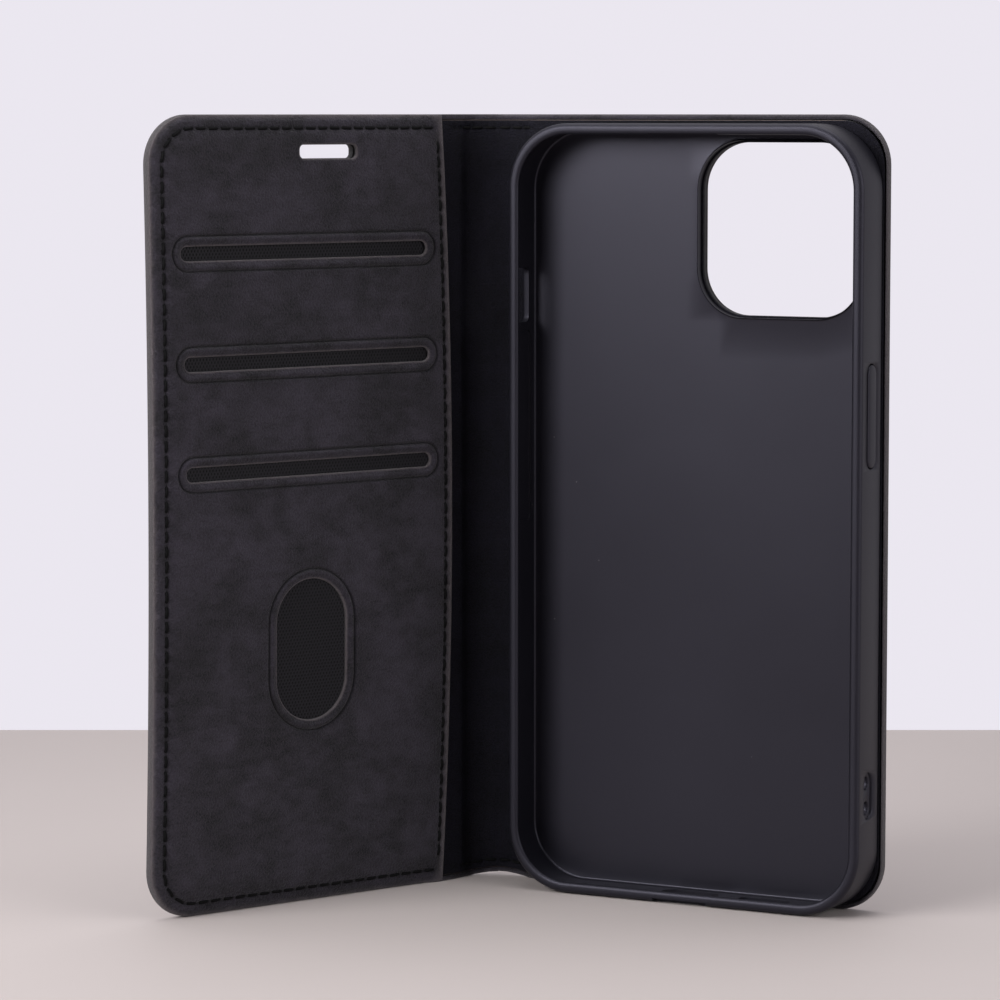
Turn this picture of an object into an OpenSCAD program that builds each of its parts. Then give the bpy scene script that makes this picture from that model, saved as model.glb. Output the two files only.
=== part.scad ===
// Folding wallet case for a phone: a leather book cover with card pockets, and a soft moulded
// tray bonded inside its back cover. Millimetres, +Z up, standing on the lower edges of its covers.
// The tray faces -Y. The cover folds on two upright creases, one on each side of the spine.

/* [Phone] */
// Width of the phone
phone_w = 71.5; // [70:0.1:74]
// Height of the phone
phone_h = 146.7; // [146:0.1:147.5]
// Thickness of the phone
phone_t = 7.7; // [7:0.1:8.5]
// Room around the phone on each side
phone_room = 0.15; // [0.05:0.05:0.3]

/* [Tray] */
// Thickness of the tray's side walls
wall_t = 1.3; // [1.2:0.1:1.6]
// Thickness of the tray's floor
floor_t = 1.05; // [0.8:0.05:1.5]
// Thickness of the lip that holds the phone in
lip_t = 1.2; // [1:0.1:1.5]
// How far the lip reaches over the phone
lip_reach = 0.8; // [0.4:0.1:1]
// Outer corner radius of the tray
tray_r = 12.5; // [11:0.5:14]
// Height of the tray above the lower edge of the covers
tray_lift = 0.2; // [0.1:0.1:0.8]
// Thickness of the film that bonds the tray to the cover
film_t = 0.15; // [0.1:0.05:0.2]

/* [Covers] */
// Height of the covers and of the spine
cover_h = 151.5; // [150.8:0.1:153]
// How far the back cover reaches past the tray at its free edge
edge_reach = 0.6; // [0.4:0.1:2]
// Radius of the covers' free corners
cover_r = 9.5; // [8:0.5:12]
// Thickness of the outer leather
leather_t = 0.7; // [0.6:0.1:0.8]
// Thickness of the stiffening boards
board_t = 1.0; // [0.8:0.1:1.2]
// Thickness of the smooth lining
lining_t = 0.6; // [0.5:0.1:0.7]
// Thickness of the pocket panel's leather
panel_t = 0.7; // [0.6:0.1:0.8]
// How far the lining stops below the leather's edge
lining_inset = 1.1; // [0.8:0.1:1.6]

/* [Folding] */
// Angle that the spine is folded by where it meets the back cover
spine_fold = 19.3; // [10:0.1:35]
// Angle that the front cover is folded by where it meets the spine
front_fold = 48.0; // [30:0.1:60]
// How far the soft spine bows outwards
spine_bow = 3.0; // [2.5:0.1:3.4]
// Bare length left on each side of a crease line
crease_gap = 1.0; // [1:0.1:1.3]
// Gap between the closed front cover and the tray's lip
closed_gap = 0.3; // [0.3:0.05:0.6]

/* [Pockets] */
// Width of a card slot
slot_w = 57.6; // [56:0.1:59]
// Height of a card slot
slot_h = 2.7; // [2.2:0.1:3.2]
// Height of the top card slot above the lower edge
slot_top_z = 125.6; // [122:0.1:128]
// Distance from one card slot down to the next
slot_pitch = 20.7; // [18:0.1:22]
// Width of the thumb window
thumb_w = 16.5; // [14:0.1:19]
// Height of the thumb window
thumb_h = 27.3; // [22:0.1:30]
// Height of the thumb window's middle
thumb_z = 49.1; // [45:0.1:54]
// Width of the slot over the phone's earpiece
ear_w = 13.4; // [10:0.1:16]
// Height of the slot over the phone's earpiece
ear_h = 2.5; // [2:0.1:3]

/* [Stitching] */
// Distance of the stitching from the edge
seam_inset = 2.7; // [2.4:0.1:3.2]
// Width of the line of thread
thread_w = 0.5; // [0.4:0.1:0.7]
// How far the thread stands out of the leather
thread_h = 0.15; // [0.1:0.05:0.15]

/* [Tray openings] */
// Width of the camera window
cam_w = 33.4; // [30:0.1:34]
// Height of the camera window
cam_h = 33.0; // [30:0.1:34]
// Corner radius of the camera window
cam_r = 9; // [7:0.5:11]
// Width of the charging port's opening
port_w = 11.8; // [10:0.1:14]
// Length of the loudspeaker's opening
speaker_w = 10.6; // [8:0.1:12]
// Length of the mute switch's opening
mute_l = 10.6; // [9:0.1:11]

/* [Buttons] */
// Length of the power button's cover
power_l = 19.4; // [16:0.1:21]
// Length of each volume button's cover
volume_l = 11.4; // [10:0.1:12]
// Width of the button covers
button_w = 3.8; // [3:0.1:4.2]
// How far the button covers stand out of the wall
button_h = 0.6; // [0.4:0.1:0.7]

/* [Hidden] */
$fn = 96;
eps = 0.01;
over = 1;           // how far a cutting solid runs past what it cuts
into = 0.3;         // how far a hole through the wall is cut past its inner face

LEATHER = [0.19, 0.18, 0.20];
PANEL = [0.20, 0.19, 0.21];
LINING = [0.15, 0.15, 0.16];
BOARD = [0.45, 0.40, 0.34];
WOVEN = [0.08, 0.08, 0.09];
THREAD = [0.05, 0.05, 0.05];
MOULDED = [0.13, 0.13, 0.15];
STEEL = [0.62, 0.63, 0.65];
FILM = [0.75, 0.74, 0.70];

// the tray: x from its left side, y from the back cover's inner face (forwards is minus)
tray_w = phone_w + 2 * (phone_room + wall_t);
tray_h = phone_h + 2 * (phone_room + wall_t);
bed_y = -(film_t + floor_t);            // the face that the phone lies on
phone_play = 0.1;                       // room between the phone's front and the lip
lip_y = bed_y - phone_t - phone_play;   // the back of the lip
tray_y = lip_y - lip_t;                 // the front of the tray
tray_back_r = 0.9;                      // rounding of the tray's back edge
lip_r = 0.5;                            // rounding of the lip's outer edge
corner_r = tray_r - wall_t;             // inner radius of the tray's corners
floor_lap = 2;                          // the strip of floor that is drawn with each wall
button_lean = 0.2;                      // how far the buttons sit forward of the phone's middle
wall_mid_y = (bed_y + lip_y) / 2 - button_lean;

// the layers, measured from the middle of the outer leather towards the inside
skin = leather_t / 2;
board_in = skin + board_t;
lining_in = board_in + lining_t;
panel_in = lining_in + panel_t;
back_t = leather_t + board_t + lining_t;
sleeve_t = lining_t / 3;
back_lining_inset = 0.44;

// the creases
crease_x = -0.4;                        // the back crease, just outside the tray's left side
crease_y = back_t - skin;
spine_w = -tray_y + closed_gap + crease_y + panel_in;
bow_r = (pow(spine_w / 2, 2) + pow(spine_bow, 2)) / (2 * spine_bow);
bow_half = asin((spine_w / 2 - crease_gap) / bow_r);
crease2_x = crease_x - spine_w * cos(spine_fold);
crease2_y = crease_y - spine_w * sin(spine_fold);
leaf_fold = spine_fold + front_fold;
back_w = tray_w + edge_reach - crease_x;
leaf_short = 0.6;                       // how much narrower the front cover is than the back one
leaf_w = back_w - leaf_short;
thread_arc = 0.84;                      // the share of the spine's arc that carries thread

// the whole object's box at rest, so that the origin is at the middle of its foot
out_x = crease2_x - leaf_w * cos(leaf_fold) - skin * sin(leaf_fold);
in_y = crease2_y - leaf_w * sin(leaf_fold) - panel_in * cos(leaf_fold);
bow_mid_x = crease_x - spine_w / 2 * cos(spine_fold);
bow_mid_y = crease_y - spine_w / 2 * sin(spine_fold);
bow_cy = bow_mid_y - (bow_r - spine_bow) * cos(spine_fold);
right_x = tray_w + edge_reach;
rear_y = bow_cy + bow_r + skin + thread_h;
origin_x = (out_x + right_x) / 2;
origin_y = (in_y + rear_y) / 2;

// the pockets, measured from the front crease
panel_q = 3.8;                          // the panel's cut edge beside the spine
seam_q = panel_q + 1.8;
seam_start = panel_q + 0.4;
lining_q = 8;                           // the end of the lining under the panel
slot_q = 39.0;                          // the middle of the card slots
thumb_q = 38.35;
ear_q = 34.2;
ear_drop = 7.1;
ear_z = cover_h - ear_drop;
sleeve_q = leaf_w - 4.2;
sleeve_head = 5;                        // how far a sleeve reaches above its slot
sleeve_deep = 88;                       // how far it reaches below
magnet_r = 5;
magnet_room = 0.1;
magnet_t = 0.9;
magnet_q = leaf_w - 8.4;
magnet_z = [40, 85];

// the tray's openings
tray_top = tray_lift + tray_h;
cam_left = 37.0;
cam_drop = 38.3;
cam_x = cam_left + cam_w / 2;
cam_z = cover_h - cam_drop + cam_h / 2;
cam_step = 0.35;                        // how much larger the tray's window is than the leather's
port_d = 5.2;
rim_relief = 0.7;                       // how much of the rim is cut away in front of the port
relief_w = port_w - 0.6;
speaker_x = tray_w / 2 + port_w / 2 + 9.8;
speaker_d = 2.6;
speaker_y = wall_mid_y + 0.4;
mute_drop = 33.3;
mute_z = tray_top - mute_drop;
mute_d = 5.0;
mute_r = 1.2;
mute_y = lip_y + 0.2 + mute_d / 2;
volume_drop = 53.9;
volume_z = tray_top - volume_drop;
volume_step = volume_l / 2 + 1.2;
power_drop = 54.6;
power_z = tray_top - power_drop;
button_room = 0.25;
cord_r = 1.25;
cord_z = 23.4;
cord_step = 2.4;
cord_sink = 0.5;                        // the hollow round the two cord holes
cord_hollow_w = 4;
cord_hollow_l = 8.8;
notch_w = 14.6;                         // the shallow notch in the top lip
notch_d = 0.25;
film_inset = 3;
film_room = 1.5;                        // how far the film stays back from the camera window

// ---- placing and basic shapes ----

module back_frame() { translate([-origin_x, -origin_y, 0]) children(); }

// x runs from the back crease along the spine, y towards the inside
module spine_frame() {
    back_frame() translate([crease_x, crease_y, 0]) rotate([0, 0, 180 + spine_fold]) children();
}

// x runs from the front crease towards the free edge, y towards the inside
module leaf_frame() {
    back_frame() translate([crease2_x, crease2_y, 0]) rotate([0, 0, 180 + leaf_fold]) children();
}

// a sheet drawn in x and z, from y = a to y = b
module sheet(a, b) { rotate([90, 0, 0]) translate([0, 0, -b]) linear_extrude(b - a) children(); }

// a flat shape drawn in y and z, from x = a to x = b
module side_cut(a, b) {
    translate([a, 0, 0]) rotate([90, 0, 90]) linear_extrude(b - a) children();
}

module rounded(w, h, r) {
    translate([r, 0]) square([w - 2 * r, h]);
    translate([0, r]) square([w, h - 2 * r]);
    for (x = [r, w - r], y = [r, h - r]) translate([x, y]) circle(r);
}

module rounded_mid(w, h, r) { translate([-w / 2, -h / 2]) rounded(w, h, r); }

// a long hole with round ends, wide across x
module pill(w, h) { rounded_mid(w, h, min(w, h) / 2 - eps); }

// a cover's outline: square at the crease, round at the free corners
module cover_outline(start, width, inset = 0) {
    r = cover_r - inset;
    top = cover_h - inset;
    edge = width - inset;
    translate([start, inset]) square([edge - r - start, top - inset]);
    translate([start, inset + r]) square([edge - start, top - inset - 2 * r]);
    for (z = [inset + r, top - r]) translate([edge - r, z]) circle(r);
}

// the line of stitching along a cover's three outer edges
module seam_outline(start, width) {
    difference() {
        cover_outline(start, width, seam_inset);
        translate([-over, 0]) cover_outline(start - over, width + over, seam_inset + thread_w);
    }
}

module camera_hole(extra = 0) {
    translate([cam_x, cam_z]) rounded_mid(cam_w + 2 * extra, cam_h + 2 * extra, cam_r + extra);
}

module ear_slot() { translate([ear_q, ear_z]) pill(ear_w, ear_h); }

// ---- back cover ----

module back_outline(start, inset = 0) {
    translate([crease_x, 0]) cover_outline(start, back_w, inset);
}

module outer_leather_back() {
    color(LEATHER) back_frame() sheet(back_t - leather_t, back_t) difference() {
        back_outline(crease_gap);
        camera_hole();
    }
}

module magnet_holes(x) {
    for (z = magnet_z) translate([x, z]) circle(magnet_r + magnet_room);
}

module back_board() {
    color(BOARD) back_frame() sheet(lining_t, lining_t + board_t) difference() {
        back_outline(crease_gap);
        camera_hole();
        magnet_holes(crease_x + magnet_q);
    }
}

module lining_back() {
    color(LINING) back_frame() sheet(0, lining_t) difference() {
        back_outline(crease_gap, back_lining_inset);
        camera_hole();
    }
}

module magnets() {
    for (z = magnet_z) translate([magnet_q, 0, z])
        rotate([-90, 0, 0]) cylinder(h = magnet_t, r = magnet_r);
}

module back_magnets() {
    color(STEEL) back_frame() translate([crease_x, lining_t, 0]) magnets();
}

module bonding_film() {
    color(FILM) back_frame() sheet(-film_t, 0) difference() {
        translate([film_inset, tray_lift + film_inset])
            rounded(tray_w - 2 * film_inset, tray_h - 2 * film_inset, tray_r - film_inset);
        camera_hole(film_room);
    }
}

module thread_back() {
    color(THREAD) back_frame() sheet(back_t, back_t + thread_h)
        translate([crease_x, 0]) seam_outline(2 * crease_gap, back_w);
}

// the tray's wall in section: x outwards from the corner's centre, y from the cover forwards
module wall_section() {
    back = -film_t;
    translate([corner_r, tray_y + lip_r]) square([wall_t, back - tray_back_r - tray_y - lip_r]);
    translate([corner_r - floor_lap, bed_y])
        square([floor_lap + wall_t - tray_back_r, back - bed_y]);
    translate([tray_r - tray_back_r, back - tray_back_r]) circle(tray_back_r);
    translate([corner_r - lip_reach, tray_y]) square([lip_reach + wall_t - lip_r, lip_t]);
    translate([tray_r - lip_r, tray_y + lip_r]) circle(lip_r);
}

module wall_run(length) { linear_extrude(length) wall_section(); }

module tray_walls() {
    w = tray_w - 2 * tray_r;
    h = tray_h - 2 * tray_r;
    low = tray_lift + tray_r;
    // sides
    translate([tray_w - tray_r, 0, low]) wall_run(h);
    translate([tray_r, 0, low]) mirror([1, 0, 0]) wall_run(h);
    // top and bottom
    translate([tray_r, 0, low + h]) rotate([0, -90, 0]) mirror([0, 0, 1]) wall_run(w);
    translate([tray_r, 0, low]) rotate([0, 90, 0]) wall_run(w);
    // corners, each with its turn
    for (c = [[1, 1, 0], [0, 1, 90], [0, 0, 180], [1, 0, 270]])
        translate([tray_r + c[0] * w, 0, low + c[1] * h])
            rotate([90, 0, 0]) rotate([0, 0, c[2]]) rotate_extrude(angle = 90)
                mirror([0, 1]) wall_section();
}

module tray_floor() {
    side = wall_t + over;
    sheet(bed_y, -film_t) translate([side, tray_lift + side])
        rounded(tray_w - 2 * side, tray_h - 2 * side, tray_r - side);
}

// holes in the left wall: the mute switch and the two volume buttons
module left_holes() {
    side_cut(-over, wall_t + into) {
        translate([mute_y, mute_z]) rounded_mid(mute_d, mute_l, mute_r);
        for (s = [-1, 1]) translate([wall_mid_y, volume_z + s * volume_step])
            pill(button_w + 2 * button_room, volume_l + 2 * button_room);
    }
}

// holes in the right wall: the power button, and two cord holes in a shallow hollow
module right_holes() {
    side_cut(tray_w - wall_t - into, tray_w + over) translate([wall_mid_y, power_z])
        pill(button_w + 2 * button_room, power_l + 2 * button_room);
    side_cut(tray_w - cord_sink, tray_w + over) translate([wall_mid_y, cord_z])
        pill(cord_hollow_w, cord_hollow_l);
    for (s = [-1, 1]) translate([tray_w - wall_t - into, wall_mid_y, cord_z + s * cord_step])
        rotate([0, 90, 0]) cylinder(h = wall_t + over, r = cord_r);
}

// holes in the lower wall: the charging port, with the rim relieved in front, and the loudspeaker
module lower_holes() {
    low = tray_lift - over;
    translate([tray_w / 2, wall_mid_y, low]) linear_extrude(wall_t + into + over)
        pill(port_w, port_d);
    translate([tray_w / 2 - relief_w / 2, tray_y - over, low])
        cube([relief_w, lip_t + 3 * over, over + rim_relief]);
    translate([speaker_x, speaker_y, low]) linear_extrude(wall_t + into + over)
        pill(speaker_w, speaker_d);
}

module lip_notch() {
    translate([tray_w / 2 - notch_w / 2, tray_y - over, tray_top - wall_t - lip_reach - over])
        cube([notch_w, lip_t + over, over + notch_d]);
}

module phone_tray() {
    color(MOULDED) back_frame() difference() {
        union() {
            tray_walls();
            tray_floor();
        }
        sheet(bed_y - over, over) camera_hole(cam_step);
        left_holes();
        right_holes();
        lower_holes();
        lip_notch();
    }
}

// ---- spine ----

// a band that follows the bowed spine, from radius a to radius b
module bow_band(a, b, z0, z1, half = bow_half) {
    translate([spine_w / 2, bow_r - spine_bow, z0]) rotate([0, 0, -90 - half])
        rotate_extrude(angle = 2 * half) translate([a, 0]) square([b - a, z1 - z0]);
}

module outer_leather_spine() {
    color(LEATHER) spine_frame() bow_band(bow_r - skin, bow_r + skin, 0, cover_h);
}

module lining_spine() {
    color(LINING) spine_frame()
        bow_band(bow_r - skin - lining_t, bow_r - skin, lining_inset, cover_h - lining_inset);
}

module thread_spine() {
    half = bow_half * thread_arc;
    outside = bow_r + skin;
    inside = bow_r - skin - lining_t;
    for (z = [seam_inset, cover_h - seam_inset - thread_w])
        color(THREAD) spine_frame() {
            bow_band(outside, outside + thread_h, z, z + thread_w, half);
            bow_band(inside - thread_h, inside, z, z + thread_w, half);
        }
}

// ---- front cover ----

module outer_leather_front() {
    color(LEATHER) leaf_frame() sheet(-skin, skin) difference() {
        cover_outline(crease_gap, leaf_w);
        ear_slot();
    }
}

module front_board() {
    color(BOARD) leaf_frame() sheet(skin, board_in) difference() {
        cover_outline(crease_gap, leaf_w);
        ear_slot();
        magnet_holes(magnet_q);
    }
}

module front_magnets() {
    color(STEEL) leaf_frame() translate([0, skin, 0]) magnets();
}

module lining_front() {
    color(LINING) leaf_frame() sheet(board_in, lining_in)
        translate([crease_gap, lining_inset])
            square([lining_q - crease_gap, cover_h - 2 * lining_inset]);
}

// the height of a card slot's middle, counted from the top
function slot_z(i) = slot_top_z - i * slot_pitch;

// a woven sleeve for one row of cards: level 0 lies on the board, level 2 under the panel
module sleeve(level, top, bottom) {
    a = board_in + level * sleeve_t;
    color(WOVEN) leaf_frame() sheet(a, a + sleeve_t)
        translate([lining_q, bottom]) square([sleeve_q - lining_q, top - bottom]);
}

module sleeve_top() { sleeve(0, slot_z(0) + sleeve_head, slot_z(0) - sleeve_deep); }
module sleeve_middle() { sleeve(1, slot_z(1) + sleeve_head, slot_z(1) - sleeve_deep); }
module sleeve_bottom() { sleeve(2, slot_z(2) + sleeve_head, seam_inset + over); }

module pocket_panel() {
    color(PANEL) leaf_frame() sheet(lining_in, panel_in) difference() {
        cover_outline(panel_q, leaf_w);
        ear_slot();
        for (i = [0 : 2]) translate([slot_q, slot_z(i)]) pill(slot_w, slot_h);
        translate([thumb_q, thumb_z]) pill(thumb_w, thumb_h);
    }
}

module thread_front() {
    color(THREAD) leaf_frame() {
        sheet(panel_in, panel_in + thread_h) seam_outline(seam_start, leaf_w);
        sheet(-skin - thread_h, -skin) seam_outline(2 * crease_gap, leaf_w);
    }
}

module thread_pocket() {
    low = seam_inset + thread_w + over;
    color(THREAD) leaf_frame() translate([seam_q, panel_in, low])
        cube([thread_w, thread_h, cover_h - 2 * low]);
}

// ---- buttons ----

// a button's cover: a plug through the wall with a flat head, drawn outwards along +x
module button_cover(length) {
    side_cut(-wall_t, button_h) pill(button_w, length);
}

module power_button() {
    color(MOULDED) back_frame() translate([tray_w, wall_mid_y, power_z])
        button_cover(power_l);
}

module volume_button(side) {
    color(MOULDED) back_frame() translate([0, wall_mid_y, volume_z + side * volume_step])
        mirror([1, 0, 0]) button_cover(volume_l);
}

module volume_up_button() { volume_button(1); }
module volume_down_button() { volume_button(-1); }

outer_leather_back();
back_board();
lining_back();
back_magnets();
bonding_film();
phone_tray();
thread_back();
outer_leather_spine();
lining_spine();
thread_spine();
outer_leather_front();
front_board();
front_magnets();
lining_front();
sleeve_top();
sleeve_middle();
sleeve_bottom();
pocket_panel();
thread_front();
thread_pocket();
power_button();
volume_up_button();
volume_down_button();
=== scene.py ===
"""Leather, stitching, moulded tray, light and camera for the folding phone case.

Lengths are millimetres until a mesh is made. A sheet is drawn flat in (q, z): q is the
distance from a crease towards a cover's free edge and z the height. Its third number, t, is the
level above the middle of the outer leather, towards the inside.
"""

import logging
import math
from dataclasses import dataclass, field, replace
from enum import Enum
from typing import Callable, Iterable, Sequence

import bmesh
import bpy
import numpy as np
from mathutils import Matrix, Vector
from mathutils.geometry import delaunay_2d_cdt
from mathutils.kdtree import KDTree


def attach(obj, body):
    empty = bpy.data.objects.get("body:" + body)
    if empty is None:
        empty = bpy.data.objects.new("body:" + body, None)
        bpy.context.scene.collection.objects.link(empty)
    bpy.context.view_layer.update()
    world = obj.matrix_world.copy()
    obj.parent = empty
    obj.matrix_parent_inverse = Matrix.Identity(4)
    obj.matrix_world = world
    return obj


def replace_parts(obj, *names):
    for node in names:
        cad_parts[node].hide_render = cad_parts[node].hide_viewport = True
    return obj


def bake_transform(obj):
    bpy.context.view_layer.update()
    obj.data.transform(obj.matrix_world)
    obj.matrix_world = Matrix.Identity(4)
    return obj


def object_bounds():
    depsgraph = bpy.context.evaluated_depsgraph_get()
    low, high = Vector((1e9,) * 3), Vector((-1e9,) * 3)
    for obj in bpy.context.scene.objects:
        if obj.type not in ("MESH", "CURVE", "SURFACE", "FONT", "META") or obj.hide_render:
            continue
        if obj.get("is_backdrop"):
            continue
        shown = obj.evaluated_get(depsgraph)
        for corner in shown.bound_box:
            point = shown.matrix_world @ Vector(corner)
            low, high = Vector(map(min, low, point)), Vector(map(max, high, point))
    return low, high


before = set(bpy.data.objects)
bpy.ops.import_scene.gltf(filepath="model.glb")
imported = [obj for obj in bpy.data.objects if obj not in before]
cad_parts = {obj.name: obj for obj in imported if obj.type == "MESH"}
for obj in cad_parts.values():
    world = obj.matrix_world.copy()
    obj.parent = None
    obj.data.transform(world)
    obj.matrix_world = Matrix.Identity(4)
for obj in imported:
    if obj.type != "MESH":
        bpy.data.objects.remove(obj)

log = logging.getLogger("phone_case")
Array = np.ndarray
Colour = tuple[float, float, float]
MM = 0.001
SHARP = math.radians(48)


class Slot(Enum):
    """Names of the material slots."""

    OUTER = "outer_leather"
    PANEL = "panel_leather"
    LINING = "lining_leather"
    BOARD = "board"
    WOVEN = "woven"
    THREAD = "thread"
    TRAY = "tray"
    FILM = "film"
    MAGNET = "magnet"


class Side(Enum):
    """The two faces of the cover."""

    INSIDE = 1
    OUTSIDE = -1


# ---- the case seen from above ----


def smooth(x: Array | float, low: float, high: float) -> Array:
    """A soft step that is 0 below low and 1 above high."""
    t = np.clip((np.asarray(x, float) - low) / (high - low), 0, 1)
    return t * t * (3 - 2 * t)


def bump(x: Array, centre: float, half: float) -> Array:
    """A rounded ridge of height 1 at centre that ends half to each side."""
    t = np.clip(np.abs(x - centre) / half, 0, 1)
    return (1 + np.cos(math.pi * t)) / 2


@dataclass(frozen=True)
class Layers:
    """Levels of the stacked layers and the covers' outline."""

    height: float = 151.5
    corner: float = 9.5
    leather: float = 0.7
    board: float = 1.0
    lining: float = 0.6
    panel: float = 0.7
    crease_gap: float = 1.0
    back_width: float = 75.4
    front_width: float = 74.8
    raw_inset: float = 1.1

    @property
    def skin(self) -> float:
        """The outer leather's inner face."""
        return self.leather / 2

    @property
    def board_in(self) -> float:
        """The board's inner face."""
        return self.skin + self.board

    @property
    def lining_in(self) -> float:
        """The lining's inner face where it lies on a board."""
        return self.board_in + self.lining


@dataclass(frozen=True)
class PlanLine:
    """The middle of the outer leather seen from above, as one smooth line.

    It runs from the back cover's free edge through both creases to the front cover's free edge.
    Its length u is 0 at the back crease and grows towards the front cover.
    """

    back_crease: tuple[float, float]
    front_crease: tuple[float, float]
    front_fold: float = 67.3
    bow: float = 3.0
    soften: float = 1.3
    reach: float = 84.0
    step: float = 0.05
    arc: float = field(init=False)
    u: Array = field(init=False)
    points: Array = field(init=False)
    normals: Array = field(init=False)

    def __post_init__(self) -> None:
        """Draws the line once and keeps its points and inward normals."""
        c1, c2 = np.array(self.back_crease), np.array(self.front_crease)
        chord = c2 - c1
        width = float(np.hypot(*chord))
        along = chord / width
        out = np.array([along[1], -along[0]])
        radius = ((width / 2) ** 2 + self.bow**2) / (2 * self.bow)
        half = math.asin(width / 2 / radius)
        centre = (c1 + c2) / 2 - out * (radius - self.bow)
        arc = radius * 2 * half
        u = np.arange(-self.reach, arc + self.reach, self.step)
        a = np.clip(u, 0, arc) / radius - half
        points = centre + radius * (np.sin(a)[:, None] * along + np.cos(a)[:, None] * out)
        turn = math.radians(180 + self.front_fold)
        points += np.minimum(u, 0)[:, None] * np.array([-1.0, 0.0])
        points += np.maximum(u - arc, 0)[:, None] * np.array([math.cos(turn), math.sin(turn)])
        n = int(self.soften / self.step)
        kernel = np.hanning(2 * n + 3)[1:-1]
        padded = np.pad(points, ((n, n), (0, 0)), mode="reflect", reflect_type="odd")
        soft = np.stack(
            [np.convolve(padded[:, i], kernel / kernel.sum(), "valid") for i in (0, 1)], 1
        )
        d = np.gradient(soft, axis=0)
        d /= np.hypot(d[:, 0], d[:, 1])[:, None]
        object.__setattr__(self, "arc", arc)
        object.__setattr__(self, "u", u)
        object.__setattr__(self, "points", soft)
        object.__setattr__(self, "normals", np.stack([-d[:, 1], d[:, 0]], 1))

    def at(self, u: Array, t: Array | float) -> Array:
        """Points of the plan.

        Args:
            u: Lengths along the line.
            t: Levels towards the inside.

        Returns:
            One row of x and y for each length.
        """
        p = np.stack([np.interp(u, self.u, self.points[:, i]) for i in (0, 1)], 1)
        return p + self.inward(u) * np.broadcast_to(np.asarray(t, float), np.shape(u))[:, None]

    def inward(self, u: Array) -> Array:
        """The direction towards the inside at each length."""
        n = np.stack([np.interp(u, self.u, self.normals[:, i]) for i in (0, 1)], 1)
        return n / np.hypot(n[:, 0], n[:, 1])[:, None]


@dataclass(frozen=True)
class Wing:
    """One half of the cover: a stiff cover, a crease and half of the spine.

    Its q is 0 at its crease, grows towards the free edge, and is negative on the spine.
    """

    plan: PlanLine
    layers: Layers
    front: bool
    warp: tuple[float, float, float] = (0.0, 0.0, 0.0)
    foot: float = 0.75

    @property
    def body(self) -> str:
        """The body of this wing's stiff cover."""
        return "front_cover" if self.front else "back_cover"

    @property
    def width(self) -> float:
        """From the crease to the free edge."""
        return self.layers.front_width if self.front else self.layers.back_width

    @property
    def split(self) -> float:
        """Where the spine's middle lies."""
        return -self.plan.arc / 2

    def length(self, q: Array) -> Array:
        """The plan line's length at q."""
        return self.plan.arc + q if self.front else -q

    def place(self, q: Array, z: Array, t: Array) -> Array:
        """Brings points of a flat sheet to their places in the case.

        Args:
            q: Distances from the crease.
            z: Heights.
            t: Levels above the middle of the outer leather.

        Returns:
            One row of x, y and z for each point, in millimetres.
        """
        u = self.length(q)
        zeta = 2 * z / self.layers.height - 1
        high, fall, middle = self.warp
        share = np.clip(q / self.width, 0, None)
        bend = share * (high - fall * (zeta - middle) ** 2)
        xy = self.plan.at(u, t + bend)
        across = bump(u, self.plan.arc / 2, self.plan.arc / 2)
        lift = self.foot * across * np.clip(1 - z / 25.0, 0, 1) ** 2
        return np.column_stack([xy, z + lift])

    def outward(self, q: Array, side: Side) -> Array:
        """The direction that a face of the cover looks in at each q."""
        n = self.plan.inward(self.length(q)) * side.value
        return np.column_stack([n, np.zeros(len(n))])


# ---- flat shapes ----


@dataclass(frozen=True)
class RoundBox:
    """A rectangle with round corners, given by its middle, its size and its radius."""

    q: float
    z: float
    width: float
    height: float
    radius: float

    @classmethod
    def pill(cls, q: float, z: float, width: float, height: float) -> "RoundBox":
        """A long hole with round ends."""
        return cls(q, z, width, height, min(width, height) / 2)

    def loop(self, inset: float = 0.0, step: float = 0.6) -> Array:
        """Points round the outline, anticlockwise.

        Args:
            inset: How far inside the outline they run; a negative one runs outside.
            step: Their spacing, which gives the same number of points for every inset.

        Returns:
            One row of q and z for each point.
        """
        r = max(self.radius - inset, 0.02)
        half_q, half_z = self.width / 2 - self.radius, self.height / 2 - self.radius
        turns = max(6, math.ceil(self.radius * math.pi / 2 / step))
        points: list[tuple[float, float]] = []
        corners = ((half_q, -half_z), (half_q, half_z), (-half_q, half_z), (-half_q, -half_z))
        for i, (cq, cz) in enumerate(corners):
            for k in range(turns + 1):
                a = math.pi / 2 * (i - 1 + k / turns)
                points.append((self.q + cq + r * math.cos(a), self.z + cz + r * math.sin(a)))
            nq, nz = corners[(i + 1) % 4]
            run = math.hypot(nq - cq, nz - cz)
            pieces = math.ceil(run / step) if run > 1e-6 else 0
            a = math.pi / 2 * i
            for k in range(1, pieces):
                f = k / pieces
                points.append(
                    (
                        self.q + cq + (nq - cq) * f + r * math.cos(a),
                        self.z + cz + (nz - cz) * f + r * math.sin(a),
                    )
                )
            if run <= 1e-6:
                points.pop()
        return np.array(points)

    def outside(self, p: Array) -> Array:
        """The distance of points outside the outline, negative inside it.

        Args:
            p: Rows of q and z.

        Returns:
            One distance for each point.
        """
        a = np.abs(p - (self.q, self.z)) - (
            self.width / 2 - self.radius, self.height / 2 - self.radius
        )
        over = np.hypot(*np.maximum(a, 0).T)
        return over + np.minimum(a.max(1), 0) - self.radius


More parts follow.
